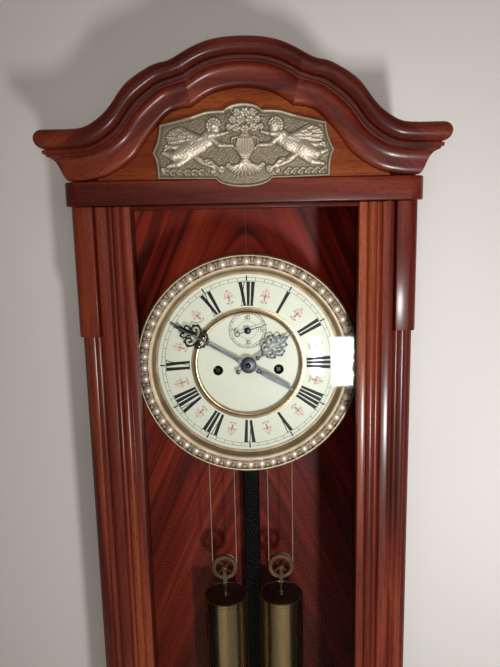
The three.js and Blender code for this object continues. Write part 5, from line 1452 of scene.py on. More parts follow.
@dataclass
class Dial:
    """Enamel dial with printed figures, brass rings and the beaded bezel."""

    face: float = 127.0
    sunk: float = 124.0
    seat: float = 124.3
    ink: float = 0.07
    figure_low: float = 58.8
    figure_high: float = 82.0
    figure_middle: float = 70.5
    eggs: int = 56

    def ring(self, inner: float, outer: float, depth: float, centre: Point = (0.0, 0.0)) -> Shell:
        """Flat printed ring."""
        pairs = [(depth, inner), (depth + self.ink, inner), (depth + self.ink, outer), (depth, outer)]
        return turned_forward(pairs, centre[0], centre[1], 120, closed=True)

    def mark(self, corners: Sequence[Point], bearing: float, depth: float,
             centre: Point = (0.0, 0.0)) -> Shell:
        """Printed shape drawn upright at twelve and turned to its bearing."""
        return prism(spun(corners, bearing, centre), depth, depth + self.ink)

    def stroke(self, start: Point, end: Point, width: float, bearing: float) -> Shell:
        """Stroke of a numeral.

        Args:
            start: Place across, in millimetres at the middle radius, and radius of its start.
            end: The same for its end.
            width: Width of the stroke.
            bearing: Bearing of the numeral in degrees.

        Returns:
            The printed stroke.
        """
        middle, steps = self.figure_middle, 4
        edge = []
        for side in (-1, 1):
            for i in range(steps + 1):
                t = i / steps if side < 0 else 1 - i / steps
                across = start[0] + (end[0] - start[0]) * t + side * width / 2
                radius = start[1] + (end[1] - start[1]) * t
                edge.append(polar(radius, bearing + degrees(across / middle)))
        return prism(edge, self.face, self.face + self.ink)

    def numeral(self, text: str, bearing: float) -> Shell:
        """Roman numeral with its feet towards the centre.

        Args:
            text: The letters, reading clockwise.
            bearing: Bearing of its middle in degrees.

        Returns:
            The printed numeral.
        """
        low, high, thick, thin, gap, over = self.figure_low, self.figure_high, 3.1, 0.7, 1.0, 0.4
        widths = {"I": thick, "V": 5.9, "X": 5.9}
        total = sum(widths[c] for c in text) + gap * (len(text) - 1)
        cursor = -total / 2
        parts = []
        for letter in text:
            wide = widths[letter]
            left, right, middle = cursor, cursor + wide, cursor + wide / 2
            serifs = [(left - over, left + thick + over, high), (right - 1.8, right + over, high)]
            if letter == "I":
                parts.append(self.stroke((middle, low), (middle, high), thick, bearing))
                serifs = [(left - over, right + over, high), (left - over, right + over, low)]
            elif letter == "V":
                parts.append(self.stroke((left + thick / 2, high), (middle + 0.4, low), thick, bearing))
                parts.append(self.stroke((right - thin, high), (middle + 0.4, low), thin, bearing))
            else:
                parts.append(self.stroke((left + thick / 2, high), (right - thick / 2, low), thick, bearing))
                parts.append(self.stroke((right - thin, high), (left + thin, low), thin, bearing))
                serifs += [(right - thick - over, right + over, low), (left - over, left + 1.8, low)]
            parts += [self.bar(a, b, radius, bearing) for a, b, radius in serifs]
            cursor = right + gap
        return joined(*parts)

    def bar(self, left: float, right: float, radius: float, bearing: float) -> Shell:
        """Thin serif across the foot or head of a letter.

        Args:
            left: Its left end, in millimetres at the middle radius.
            right: Its right end.
            radius: Radius of its middle.
            bearing: Bearing of the numeral in degrees.

        Returns:
            The printed serif.
        """
        low, high = radius - 0.35, radius + 0.35
        corners = [polar(r, bearing + degrees(a / self.figure_middle)) for r, a in
                   ((low, left), (low, right), (high, right), (high, left))]
        return prism(corners, self.face, self.face + self.ink * 1.1)

    def figures(self) -> None:
        """Prints the numerals and the minute track."""
        texts = ("XII", "I", "II", "III", "IIII", "V", "VI", "VII", "VIII", "IX", "X", "XI")
        add_piece("numerals", joined(*[self.numeral(text, 30.0 * i) for i, text in enumerate(texts)]),
                  Finish.PRINT, crease=30)
        lines = [self.ring(86.2, 86.5, self.face), self.ring(82.9, 83.2, self.face)]
        for i in range(60):
            half, low, high = (0.65, 83.0, 88.2) if i % 5 == 0 else (0.2, 83.0, 86.4)
            tick = [(-half, low), (half, low), (half, high), (-half, high)]
            lines.append(self.mark(tick, 6.0 * i, self.face))
        add_piece("minute_track", joined(*lines), Finish.PRINT, crease=30)

    def sprig(self, bearing: float) -> Shell:
        """Little printed spray of blossoms on a stem with curled leaves.

        Args:
            bearing: Bearing of the spray in degrees.

        Returns:
            The printed spray.
        """
        parts = []
        blossoms = ((0, 75.6, 2.2), (-2.6, 73.2, 1.6), (2.6, 73.2, 1.6), (-3.6, 69.8, 1.9), (3.6, 69.8, 1.9),
                    (0, 70.6, 1.9), (0, 66.4, 1.8), (-2.4, 63.6, 1.5), (2.4, 63.6, 1.5))
        for x, r, size in blossoms:
            petals = [polar(size * (0.72 + 0.28 * cos(5 * a)), degrees(a), (x, r))
                      for a in (TURN * i / 30 for i in range(30))]
            parts.append(self.mark(petals, bearing, self.face))
        for start, end in (((0, 62), (0, 75)), ((0, 68), (-3.4, 71.4)), ((0, 68), (3.4, 71.4)),
                           ((0, 69.5), (-1.8, 68.6)), ((0, 69.5), (1.8, 68.6)), ((0, 62.5), (-2.9, 64.2)),
                           ((0, 62.5), (2.9, 64.2))):
            dx, dz = end[0] - start[0], end[1] - start[1]
            long = hypot(dx, dz)
            nx, nz = -dz / long * 0.3, dx / long * 0.3
            stem = [(start[0] + nx, start[1] + nz), (end[0] + nx, end[1] + nz),
                    (end[0] - nx, end[1] - nz), (start[0] - nx, start[1] - nz)]
            parts.append(self.mark(stem, bearing, self.face))
        return joined(*parts)

    def small_circle(self) -> None:
        """Seconds circle: grey band of painted shadow, two fine rings, sixty ticks and four numbers as
        strokes.
        """
        at, base = SECONDS, self.sunk
        # The first, thicker ring is the grey band: its weight is painted shadow of a sunk circle's edge
        rings = ((18.2, 18.8), (15.9, 16.15), (8.9, 9.2))
        lines = [self.ring(inner, outer, base, at) for inner, outer in rings]
        half_ink, tall, pitch = 0.32, 1.9, 2.7
        for i in range(60):
            half, low = (0.4, 15.9) if i % 5 == 0 else (0.17, 16.0)
            tick = [(-half, low), (half, low), (half, 18.3), (-half, 18.3)]
            lines.append(self.mark(tick, 6.0 * i, base, at))
        digits = {
            "6": [((1, 2), (0, 1)), ((0, 1), (0, 0)), ((0, 0), (1, 0)), ((1, 0), (1, 1)), ((1, 1), (0, 1))],
            "0": [((0, 0), (1, 0)), ((1, 0), (1, 2)), ((1, 2), (0, 2)), ((0, 2), (0, 0))],
            "1": [((0.5, 0), (0.5, 2))],
            "5": [((1, 2), (0, 2)), ((0, 2), (0, 1)), ((0, 1), (1, 1)), ((1, 1), (1, 0)), ((1, 0), (0, 0))],
            "3": [((0, 2), (1, 2)), ((1, 2), (1, 0)), ((1, 0), (0, 0)), ((0.2, 1), (1, 1))],
            "4": [((0, 2), (0, 1)), ((0, 1), (1, 1)), ((1, 2), (1, 0))],
        }
        for text, bearing in (("60", 0), ("15", 90), ("30", 180), ("45", 270)):
            cx, cz = polar(12.6, bearing, at)
            for n, letter in enumerate(text):
                for (ax, az), (bx, bz) in digits[letter]:
                    left = cx - 2.3 + n * pitch
                    a = (left + ax * tall, cz - tall + az * tall)
                    b = (left + bx * tall, cz - tall + bz * tall)
                    long = hypot(b[0] - a[0], b[1] - a[1])
                    ex, ez = (b[0] - a[0]) / long * half_ink, (b[1] - a[1]) / long * half_ink
                    nx, nz = -ez, ex
                    corners = [(a[0] - ex + nx, a[1] - ez + nz), (b[0] + ex + nx, b[1] + ez + nz),
                               (b[0] + ex - nx, b[1] + ez - nz), (a[0] - ex - nx, a[1] - ez - nz)]
                    lines.append(prism(corners, base, base + self.ink))
        add_piece("seconds_print", joined(*lines), Finish.FINE_PRINT, crease=30)

    def enamel(self) -> None:
        """Sunk plate with its holes and feet, and the chapter ring with a softly rounded edge."""
        holes = [(0.0, 0.0, 3.8), (*SECONDS, 2.0), *[(x, z, 4.7) for x, z in WINDING]]
        loops = [circle(0, 0, 99.0, 120)] + [circle(x, z, r, 40) for x, z, r in holes]
        foot = [(108.2, 0), (108.2, 3), (122.2, 3), (122.2, 0)]
        feet = [turned_forward(foot, x, z, 20) for x, z in ((-56, 40), (56, 40), (-56, -30), (56, -30))]
        add_piece("dial_enamel", joined(extruded(loops, 122.0, self.sunk), *feet), Finish.ENAMEL, Body.CASE,
                  ["dial_plate"], 30)
        easing, outer = 1.2, 92.2
        edge = arc(outer - easing, self.face - easing, easing, easing, pi / 2, 0, 6)
        pairs = [(self.seat, 52.2), (self.face, 52.2), *[(d, r) for r, d in edge], (self.seat, outer)]
        add_piece("chapter_enamel", turned_forward(pairs, 0, 0, 180, closed=True), Finish.ENAMEL, Body.CASE,
                  ["chapter_ring"], 30)
        low = self.sunk - 2.0
        rim = [(low, 4.3), (self.sunk + 0.3, 4.5), (self.sunk + 0.4, 4.9), (self.sunk, 5.1), (low, 4.7)]
        rims = [turned_forward(rim, x, z, 40, closed=True) for x, z in reversed(WINDING)]
        add_piece("winding_rims", joined(*rims), Finish.BLUED, crease=30)

    def hoop(self, pairs: Sequence[Point], segments: int = 200) -> Shell:
        """Ring turned about the dial's centre, from the depth and radius of its closed profile."""
        return turned_forward(pairs, 0, 0, segments, closed=True)

    def bezel(self) -> None:
        """Brass bezel: pearled lip, matt cove, and a channel of eggs and leaves inside a thin outer rim."""
        seat = self.seat
        hollow = [(z, x) for x, z in arc(98.0, 128.6, 6.0, 6.4, pi, pi / 2, 16)]
        cove = [(127.3, 89.9), (128.5, 89.9), (128.6, 92.0), *hollow, (135.6, 98.0), (135.7, 98.6),
                (seat, 98.6), (seat, 92.5), (127.3, 92.5)]
        channel = [(seat, 98.8), (135.3, 98.8), (135.0, 99.2), (133.6, 99.6), (133.4, 106.9), (seat, 106.9)]
        rim = [(seat, 107.0), (134.8, 107.0), (136.1, 107.7), (136.2, 108.6), (135.2, 110.0), (121.0, 110.0),
               (120.0, 109.2), (120.0, 107.65), (seat, 107.65)]
        inner = [(seat, 50.4), (128.7, 50.8), (129.3, 51.4), (129.4, 52.0), (128.9, 52.7), (128.1, 53.1),
                 (127.9, 53.5), (127.9, 55.9), (128.4, 56.2), (128.4, 56.6), (127.9, 56.9), (127.1, 56.9),
                 (127.1, 51.9), (seat, 51.9)]
        add_piece("bezel_cove", self.hoop(cove), Finish.MATT_BRASS, Body.CASE, ["bezel"], 35)
        add_piece("bezel_channel", self.hoop(channel), Finish.DARK_BRASS, crease=35)
        add_piece("bezel_rim", self.hoop(rim), Finish.MATT_BRASS, crease=35)
        add_piece("inner_ring_brass", self.hoop(inner, 160), Finish.BRASS, Body.CASE, ["dial_inner_ring"], 35)

    def beading(self) -> None:
        """Eggs and leaves in the bezel's channel, and the two rows of fine pearls."""
        egg = ball(0, 0.4, 0, (4.7, 3.4, 4.3), 12, 16)
        egg = egg.moved(lambda v: (v[0], v[1], v[2] * (1.0 - 0.05 * v[0])))
        lobes = [ball(x, 0.2, z, (1.3, 2.8, 0.9), 6, 8)
                 for x, z in ((-2.6, 1.0), (-2.6, -1.0), (2.2, 0.9), (2.2, -0.9))]
        leaf = joined(ball(0, 0, 0, (4.1, 2.9, 0.8), 8, 10), *lobes)
        pearl, fine = ball(0, 0, 0, (1.1, 0.7, 0.7), 4, 6), ball(0, 0, 0, (1.0, 0.75, 0.8), 4, 6)
        count = self.eggs
        eggs, leaves = [Ring(count, 103.1, 133.9, phase=phase) for phase in (0.0, 180 / count)]
        for name, ring, seed, finish, crease in (
            ("bezel_eggs", eggs, egg, Finish.BEAD_BRASS, 60),
            ("bezel_leaves", leaves, leaf, Finish.BEAD_BRASS, 60),
            ("bezel_pearls", Ring(240, 91.0, 128.4), pearl, Finish.BRASS, 70),
            ("inner_ring_pearls", Ring(150, 54.7, 127.9), fine, Finish.MATT_BRASS, 70),
        ):
            enlist(ring.lay(name, seed, finish, crease), Body.CASE)

    def build(self) -> None:
        """Builds the dial."""
        self.enamel()
        self.figures()
        add_piece("sprigs", joined(*[self.sprig(15.0 + 30.0 * i) for i in range(12)]), Finish.SPRIG)
        self.small_circle()
        self.bezel()
        self.beading()


@dataclass
class Hands:
    """Pierced serpentine hands and the plain seconds hand."""

    minute_bearing: float = 300.0
    hour_bearing: float = 55.0
    seconds_bearing: float = 72.0
    hub: float = 7.8
    hour_rear: float = 131.4
    minute_rear: float = 134.6
    seconds_rear: float = 129.9
    thick: float = 1.0

    def plate(self, outline: Sequence[Point], bearing: float, rear: float, thick: float,
              centre: Point = (0, 0)) -> Shell:
        """Flat part of a hand, drawn pointing at twelve."""
        return prism(spun(outline, bearing, centre), rear, rear + thick)

    def scroll(self, route: Sequence[Point], wide: float, bearing: float, depth: float) -> Shell:
        """Scrolled bar of a hand along a smooth route."""
        points = spun(catmull(route, 8 * len(route)), bearing)
        return tube([(x, depth, z) for x, z in points], wide, 8, flat=0.55)

    def mirrored(self, outline: Sequence[Point]) -> list[Point]:
        """Closes a right-hand outline with its mirror image."""
        return list(outline) + [(-x, z) for x, z in reversed(outline) if x > 0]

    def head(self, foot: float, wide: float, high: float, bearing: float, depth: float) -> list[Shell]:
        """Pierced scrolls between the stem and the tip of a hand, with small knobs on their bends.

        Args:
            foot: Radius at which the scrolls start.
            wide: Width over both sides.
            high: Length along the hand.
            bearing: Bearing of the hand in degrees.
            depth: Depth of the scrolls.

        Returns:
            The scrolls and knobs.
        """
        w, h = wide / 2, high
        routes = (
            (0.9, [(0, 0), (0.34, 0.02), (0.66, 0.1), (0.78, 0.22), (0.58, 0.3), (0.38, 0.23), (0.44, 0.14)]),
            (0.9, [(0, 0.22), (0.3, 0.3), (0.76, 0.36), (1.0, 0.5), (0.84, 0.65), (0.5, 0.67), (0.32, 0.56),
                   (0.46, 0.46), (0.64, 0.51)]),
            (0.75, [(0, 0.52), (0.2, 0.67), (0.52, 0.75), (0.5, 0.89), (0.27, 0.9), (0.2, 0.81)]),
            (0.65, [(0.0, 0.78), (0.15, 0.9), (0.12, 1.02), (0.0, 1.14)]),
        )
        knobs = ((0.8, 0.23, 1.35), (1.0, 0.5, 1.4), (0.62, 0.51, 1.3), (0.52, 0.9, 1.1), (0.86, 0.68, 1.1),
                 (0.4, 0.0, 1.2), (0.44, 0.15, 1.1))
        parts = []
        for side in (-1, 1):
            for share, route in routes:
                bent = [(side * x * w, foot + y * h) for x, y in route]
                parts.append(self.scroll(bent, share, bearing, depth))
            for x, y, r in knobs:
                at = spun([(side * x * w, foot + y * h)], bearing)[0]
                parts.append(ball(at[0], depth, at[1], (r, 0.7, r), 6, 10))
        return parts

    def collar(self, radius: float, wide: float, bearing: float, rear: float) -> Shell:
        """Small turned swelling across a stem."""
        at = spun([(0.0, radius)], bearing)[0]
        return ball(at[0], rear + 0.5, at[1], (wide, 0.75, wide), 6, 12)

    def disc(self, radius: float, rear: float, front: float, centre: Point = (0, 0)) -> Shell:
        """Round hub with an eased edge."""
        pairs = [(rear, 0), (rear, radius), (front - 0.3, radius), (front, radius - 0.4), (front, 0)]
        return turned_forward(pairs, centre[0], centre[1], 48)

    def minute(self) -> None:
        """Minute hand with its long tail."""
        rear, thick, b = self.minute_rear, self.thick, self.minute_bearing
        stem = self.mirrored([(1.7, 0), (1.2, 47), (0.8, 50), (0.75, 76), (1.5, 78.5), (0.75, 81),
                              (0.28, 88)])
        tail = self.mirrored([(1.5, 0), (1.9, -12), (2.5, -24), (2.1, -38), (1.5, -48), (0.8, -51)])
        parts = [self.plate(stem, b, rear, thick), self.plate(tail, b, rear, thick),
                 self.disc(self.hub, rear, rear + 1.2)]
        parts += [self.collar(r, w, b, rear) for r, w in
                  ((12, 2.3), (15, 1.8), (45.5, 2.2), (-11.5, 2.6), (-14.5, 2.0))]
        add_piece("hand_minute", joined(*parts), Finish.STEEL, Body.MINUTE, ["minute_hand"], 40)
        openwork = [*self.head(47.5, 22.0, 28.0, b, rear + thick / 2), self.collar(79, 1.5, b, rear)]
        add_piece("hand_minute_openwork", joined(*openwork), Finish.BURNT, Body.MINUTE, crease=40)
        nut = [(135.9, 0), (135.9, 2.6), (137.2, 2.6), (137.6, 1.9), (138.3, 1.3), (138.4, 0)]
        add_piece("hand_nut", turned_forward(nut, 0, 0, 24), Finish.STEEL, Body.MINUTE, crease=40)

    def hour(self) -> None:
        """Hour hand with its ball tail."""
        rear, thick, b = self.hour_rear, self.thick, self.hour_bearing
        stem = self.mirrored([(1.8, 0), (1.4, 20), (0.9, 23), (0.85, 43), (1.5, 46), (0.85, 48.5), (0.3, 56)])
        tail = self.mirrored([(1.6, 0), (1.2, -10), (1.2, -12)])
        parts = [self.plate(stem, b, rear, thick), self.plate(tail, b, rear, thick),
                 self.disc(self.hub, rear, rear + thick), *self.head(20.0, 23.0, 25.0, b, rear + thick / 2)]
        parts += [self.collar(r, w, b, rear) for r, w in ((11.5, 2.3), (18.5, 2.3), (-12.5, 2.4), (47, 1.5))]
        add_piece("hand_hour", joined(*parts), Finish.STEEL, Body.HOUR, ["hour_hand"], 40)

    def seconds(self) -> None:
        """Slim seconds hand on the small circle."""
        rear, b, at = self.seconds_rear, self.seconds_bearing, SECONDS
        blade = [(0.55, 0), (0.22, 20), (-0.22, 20), (-0.55, 0)]
        tail = [(0.45, 0), (0.35, -8.6), (-0.35, -8.6), (-0.45, 0)]
        eye = [(x, rear + 0.3, z) for x, z in circle(*spun([(0.0, -10.8)], b, at)[0], 2.2, 28)]
        parts = [self.plate(blade, b, rear, 0.6, at), self.plate(tail, b, rear, 0.6, at),
                 self.disc(3.4, rear, rear + 0.7, at), tube(eye, 0.42, 8, closed=True, flat=0.7)]
        add_piece("hand_seconds", joined(*parts), Finish.BLUED, Body.ESCAPE, ["seconds_hand"], 40)

    def build(self) -> None:
        """Builds the three hands."""
        self.minute()
        self.hour()
        self.seconds()


@dataclass
class Movement:
    """Plates, wheels, hammer and gong behind the dial: CAD solids in their metals, with a finer gong."""

    frame: dict
    gong_inner: float = 10.0
    gong_pitch: float = 7.5
    gong_turns: int = 4
    gong_wire: float = 1.45
    gong_depth: float = 22.5
    gong_height: float = -62.0

    def gong(self) -> None:
        """Flat steel coil in even turns, held by its block."""
        route, steps = [], 48
        for i in range(self.gong_turns * steps + 1):
            angle = TURN * i / steps
            radius = self.gong_inner + self.gong_pitch * i / steps
            route.append((radius * cos(angle), self.gong_depth, self.gong_height + radius * sin(angle)))
        add_piece("gong_spiral", tube(route, self.gong_wire, 8), Finish.BLUED, Body.CASE, ["gong_coil"], 60)

    def build(self) -> None:
        """Dresses the movement."""
        dress(self.frame, Finish.TRAIN, "back_plate", "front_plate", "time_great_wheel", "strike_great_wheel",
              "third_wheel", "escape_wheel", "minute_wheel", "hour_wheel", "pin_wheel", "locking_wheel",
              "fly")
        dress(self.frame, Finish.BARREL, "time_barrel", "strike_barrel", "centre_wheel")
        dress(self.frame, Finish.STEEL, "anchor", "hammer")
        dress(self.frame, Finish.IRON, "movement_bracket", "gong_block")
        self.gong()


@dataclass
class Weight:
    """One brass weight with its stirrup, spoked pulley and line."""

    kind: str
    side: int
    body: Body
    pulley_body: Body
    x: float = 32.0
    depth: float = 82.0
    radius: float = 24.9
    top: float = -280.0
    low: float = -450.0
    axle: float = -246.0
    run: float = 13.6
    gut: float = 0.6
    outer_end: float = -43.8
    inner_end: float = -7.3

    @property
    def middle(self) -> float:
        """Where the weight hangs across the case."""
        return self.side * self.x

    def tube(self) -> None:
        """Brass tube with dark end caps set in a thin rim."""
        r, top, low = self.radius, self.top, self.low
        shell = [(low + 1.6, 0), (low + 1.6, r - 2.2), (low, r - 1.8), (low, r - 0.7), (low + 0.8, r),
                 (top - 4.0, r), (top - 3.7, r - 0.35), (top - 3.2, r - 0.35), (top - 2.9, r), (top - 0.6, r),
                 (top, r - 0.5), (top, r - 1.5), (top - 1.0, r - 1.9), (top - 1.0, 0)]
        add_piece(f"{self.kind}_weight_tube", turned_upright(shell, self.middle, self.depth, 96), Finish.TUBE,
                  self.body, [f"{self.kind}_weight"], 35)
        cap = [(top - 1.2, 0), (top - 1.2, r - 1.8), (top - 0.8, r - 2.0), (top - 0.3, r * 0.6), (top, 4.6),
               (top + 1.4, 4.0), (top + 1.6, 0)]
        add_piece(f"{self.kind}_weight_cap", turned_upright(cap, self.middle, self.depth, 72), Finish.CAP,
                  self.body, crease=35)

    def stirrup(self) -> None:
        """Thin strap round the pulley, its axle and the hook into the weight."""
        x, d, z = self.middle, self.depth, self.axle
        half, steps = 5.0, 24
        strap = [(x, d - half * cos(a), z - 17.8 - 5.6 * sin(a) ** 0.8)
                 for a in (pi * i / steps for i in range(steps + 1))]
        route = [(x, d - half, z + 1.5), (x, d - half, z - 8.0), *strap,
                 (x, d + half, z - 8.0), (x, d + half, z + 1.5)]
        rings = []
        for i, p in enumerate(route):
            before, after = Vector(route[max(i - 1, 0)]), Vector(route[min(i + 1, len(route) - 1)])
            out = (after - before).normalized().cross(Vector((1, 0, 0)))
            rings.append([tuple(Vector(p) + Vector((1, 0, 0)) * a + out * b)
                          for a, b in ((-1.9, -0.5), (1.9, -0.5), (1.9, 0.5), (-1.9, 0.5))])
        ends = [turned_forward([(at - 0.6, 0), (at - 0.6, 2.6), (at + 0.6, 2.6), (at + 0.6, 0)], x, z, 20)
                for at in (d - half, d + half)]
        pin = turned_forward([(d - 6.0, 0), (d - 6.0, 1.5), (d + 6.2, 1.5), (d + 6.6, 0.9), (d + 6.6, 0)],
                             x, z, 20)
        neck = turned_upright([(self.top + 0.5, 0), (self.top + 0.5, 2.6), (self.top + 3.4, 2.2),
                               (self.top + 4.2, 1.3), (z - 25.2, 1.3), (z - 24.6, 2.3), (z - 22.9, 2.3),
                               (z - 22.5, 0)], x, d, 24)
        add_piece(f"{self.kind}_stirrup", joined(loft(rings), *ends, pin, neck), Finish.AGED_BRASS, self.body,
                  crease=35)

    def pulley(self) -> None:
        """Grooved wheel with four slim spokes."""
        x, d, z = self.middle, self.depth, self.axle
        groove = arc(d, 14.4, 1.9, 2.0, 0, -pi, 12)
        rim = [(d - 3.0, 10.2), (d - 3.0, 14.2), (d - 2.5, 14.6), *reversed(groove),
               (d + 2.5, 14.6), (d + 3.0, 14.2), (d + 3.0, 10.2), (d + 2.4, 9.7), (d - 2.4, 9.7)]
        parts = [turned_forward(rim, x, z, 64, closed=True)]
        boss = [(d - 3.0, 1.9), (d - 3.0, 3.2), (d - 2.6, 3.6), (d + 2.6, 3.6), (d + 3.0, 3.2),
                (d + 3.0, 1.9)]
        parts.append(turned_forward(boss, x, z, 32, closed=True))
        for i in range(4):
            a = TURN * (i + 0.5) / 4
            start, end = [(x + r * cos(a), d, z + r * sin(a)) for r in (3.2, 10.2)]
            parts.append(tube([start, end], 1.3, 10))
        add_piece(f"{self.kind}_wheel", joined(*parts), Finish.AGED_BRASS, self.pulley_body,
                  [f"{self.kind}_pulley"], 35)

    def line(self) -> None:
        """Line in three lengths: two strands, which ride on no body, and the loop that follows the weight."""
        x, d, z, s = self.middle, self.depth, self.axle, self.side
        for name, across, top in (("outer", s, self.outer_end), ("inner", -s, self.inner_end)):
            route = [(x + across * self.run, d, top + (z - top) * i / 60) for i in range(61)]
            obj = stand(f"{self.kind}_strand_{name}", tube(route, self.gut, 8), Finish.GUT, 60)
            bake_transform(obj)
            if name == "outer":
                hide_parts(f"{self.kind}_line")
            LOG.info("%-26s %7d faces between two bodies", obj.name, len(obj.data.polygons))
        loop = [(x + self.run * cos(a), d, z + self.run * sin(a)) for a in (-pi * i / 32 for i in range(33))]
        add_piece(f"{self.kind}_loop", tube(loop, self.gut, 8), Finish.GUT, self.body, crease=60)

    def build(self) -> None:
        """Builds the weight and what carries it."""
        self.tube()
        self.stirrup()
        self.pulley()
        self.line()


@dataclass
class Pendulum:
    """Ebonised rod on its spring, brass bob and rating nut."""

    half: float = 9.5
    rear: float = 33.5
    front: float = 40.5
    top: float = 38.0
    low: float = -620.0
    depth: float = 37.0
    bob_z: float = -560.0
    bob_radius: float = 66.0
    nut_radius: float = 7.0

    def rod(self) -> None:
        """Bevelled flat rod with its spring, pin and rating screw."""
        bevel, half = 1.4, self.half
        plan = [(-half, self.rear + bevel), (-half + bevel, self.rear), (half - bevel, self.rear),
                (half, self.rear + bevel), (half, self.front - bevel), (half - bevel, self.front),
                (-half + bevel, self.front), (-half, self.front - bevel)]
        add_piece("pendulum_bar", post(plan, self.low, self.top), Finish.EBONY, Body.PENDULUM,
                  ["pendulum_rod"], soften=0.3)
        d = self.depth
        spring = post([(-3, d - 0.2), (3, d - 0.2), (3, d + 0.2), (-3, d + 0.2)], self.top - 1, 55.6)
        plate = [(-5, d - 1.8), (5, d - 1.8), (5, d + 1.8), (-5, d + 1.8)]
        clamp = post(plate, self.top - 0.5, self.top + 3.0)
        pin = beam(circle(d, 55.7, 1.2, 16), -6.5, 6.5)
        add_piece("pendulum_spring", joined(spring, clamp, pin), Finish.STEEL, Body.PENDULUM, crease=35)
        thread, pitch = [(-654.0, 0), (-654.0, 1.6)], 0.7
        for i in range(46):
            thread += [(-653.2 + i * pitch, 2.0), (-652.85 + i * pitch, 1.65)]
        thread += [(-620.5, 2.0), (-619.0, 2.0), (-619.0, 0)]
        add_piece("rating_screw", turned_upright(thread, 0.0, d, 20), Finish.STEEL, Body.PENDULUM, crease=20)

    def bob(self) -> None:
        """Lens-shaped brass bob with a rolled rim, and the knurled nut under it."""
        d, r = self.depth, self.bob_radius
        face = arc(0, 0, r - 1.5, 6.6, 0, pi / 2, 24)
        rim = [(d + 1.8, r), (d + 2.9, r - 0.4), (d + 3.4, r - 1.2)]
        front = [*rim, *[(d + 3.4 + p, q) for q, p in face]]
        back = [(2 * d - a, b) for a, b in reversed(front)]
        lens = turned_forward(back + front, 0.0, self.bob_z, 128)
        add_piece("bob_lens", lens, Finish.BRASS, Body.BOB, ["pendulum_bob"], 35)
        knurl, edges = [], 80
        for z, share in ((-633.5, 0.0), (-633.5, 0.7), (-632.0, 0.96), (-629.6, 0.96), (-627.5, 0.8),
                         (-627.5, 0.0)):
            reach = [self.nut_radius * share * (1 - 0.03 * (i % 2)) for i in range(edges)]
            knurl.append([(q * cos(TURN * i / edges), d + q * sin(TURN * i / edges), z)
                          for i, q in enumerate(reach)])
        add_piece("nut_knurled", loft(knurl, caps=False), Finish.BRASS, Body.NUT, ["rating_nut"], 40)

    def build(self) -> None:
        """Builds the pendulum."""
        self.rod()
        self.bob()


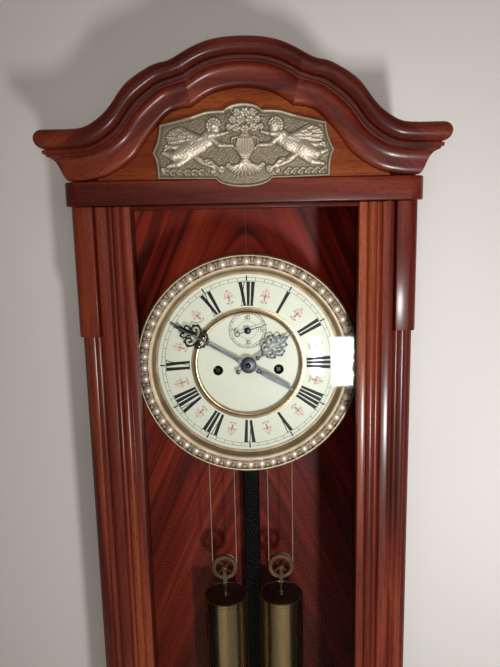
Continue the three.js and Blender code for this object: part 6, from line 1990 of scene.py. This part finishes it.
@dataclass
class Stage:
    """Wall, floor, lights and camera."""

    location: Triple = (0.00177, -0.7429, 0.01603)
    yaw: float = -0.055
    tilt: float = -10.158
    roll: float = 1.218
    focal: float = 34.07
    wall: float = 0.002
    floor: float = -1.3
    reach: float = 4.0

    def panel(self, name: str, corners: Sequence[Triple], finish: Finish) -> None:
        """Adds a flat panel that isn't part of the clock.

        Args:
            name: Name of the panel.
            corners: Its corners in metres.
            finish: Its finish.
        """
        mesh = bpy.data.meshes.new(name)
        mesh.from_pydata(corners, [], [tuple(range(len(corners)))])
        mesh.materials.append(material(finish))
        enter(name, mesh)

    def lamp(self, name: str, at: Triple, aim: Triple, size: Point, power: float, tint: str,
             spread: float = 180.0) -> Object:
        """Adds an area lamp.

        Args:
            name: Name of the lamp.
            at: Its place in metres.
            aim: Point that it faces.
            size: Its width and height in metres.
            power: Its power in watts.
            tint: Colour of its light.
            spread: Angle in degrees that its beam opens to.

        Returns:
            The lamp as an object.
        """
        data = bpy.data.lights.new(name, "AREA")
        data.shape = "RECTANGLE"
        data.size, data.size_y = size
        data.energy = power
        data.color = linear(tint)[:3]
        data.spread = radians(spread)
        obj = bpy.data.objects.new(name, data)
        obj.location = at
        obj.rotation_euler = (Vector(aim) - Vector(at)).to_track_quat("-Z", "Y").to_euler()
        bpy.context.scene.collection.objects.link(obj)
        return obj

    def camera(self) -> None:
        """Camera at the photo's angle."""
        spin = [radians(a) for a in (self.yaw, self.tilt, self.roll)]
        turned = (Matrix.Rotation(spin[0], 4, "Z") @ Matrix.Rotation(spin[1], 4, "X")
                  @ Matrix.Rotation(spin[2], 4, "Y") @ Matrix.Rotation(pi / 2, 4, "X"))
        data = bpy.data.cameras.new("camera")
        data.lens, data.sensor_width, data.sensor_fit = self.focal, 36.0, "AUTO"
        data.clip_start, data.clip_end = 0.02, 40.0
        obj = bpy.data.objects.new("camera", data)
        obj.matrix_world = Matrix.Translation(self.location) @ turned
        bpy.context.scene.collection.objects.link(obj)
        bpy.context.scene.camera = obj

    def world(self) -> None:
        """Dim room light."""
        world = bpy.data.worlds.new("room")
        world.use_nodes = True
        shade = world.node_tree.nodes["Background"]
        feed(world.node_tree, shade, {"Color": linear("#dcd6d2"), "Strength": 0.15})
        bpy.context.scene.world = world

    def build(self) -> None:
        """Sets the stage."""
        reach, wall, floor, top = self.reach, self.wall, self.floor, 3.0
        self.panel("wall", [(-reach, wall, floor), (reach, wall, floor), (reach, wall, top),
                            (-reach, wall, top)], Finish.WALL)
        self.panel("floor", [(-reach, -reach, floor), (reach, -reach, floor), (reach, wall, floor),
                             (-reach, wall, floor)], Finish.FLOOR)
        self.lamp("key", (0.23, -1.1, -0.33), (0.45, 0.0, -0.25), (0.06, 0.12), 3.0, "#ffffff", 100.0)
        self.lamp("rear", (0.0, 1.5, 0.1), (0, 0, -0.5), (0.9, 0.9), 9.0, "#ffffff")
        self.lamp("ceiling", (0.1, -1.7, 0.35), (0, -0.1, -0.1), (0.9, 0.3), 1.2, "#fdf1ec")
        # These three light the clock without showing in its glass and metal
        for unseen in (
            self.lamp("room", (0.02, -1.0, 0.1), (0, 0.0, -0.12), (0.5, 0.5), 2.2, "#fffaf6"),
            self.lamp("flash", (0.0, -0.76, 0.03), (0.02, 0, 0.0), (0.08, 0.08), 0.09, "#fff6f0", 46.0),
            self.lamp("floor_light", (0, -1.5, -0.5), (0, -1.3, -1.3), (0.8, 0.8), 4.5, "#fff4e6"),
        ):
            unseen.visible_glossy = False
        self.camera()
        self.world()
        bpy.context.scene.view_settings.view_transform = "Standard"


def main() -> None:
    """Builds the clock piece by piece over the loaded frame."""
    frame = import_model()
    assemblies = [
        CaseWork(frame), Door(frame), Plaque(), Dial(), Hands(), Movement(frame),
        Weight("strike", -1, Body.STRIKE_WEIGHT, Body.STRIKE_PULLEY),
        Weight("time", 1, Body.TIME_WEIGHT, Body.TIME_PULLEY), Pendulum(), Stage(),
    ]
    for assembly in assemblies:
        LOG.info("building %s", type(assembly).__name__)
        assembly.build()


if __name__ == "__main__":
    main()
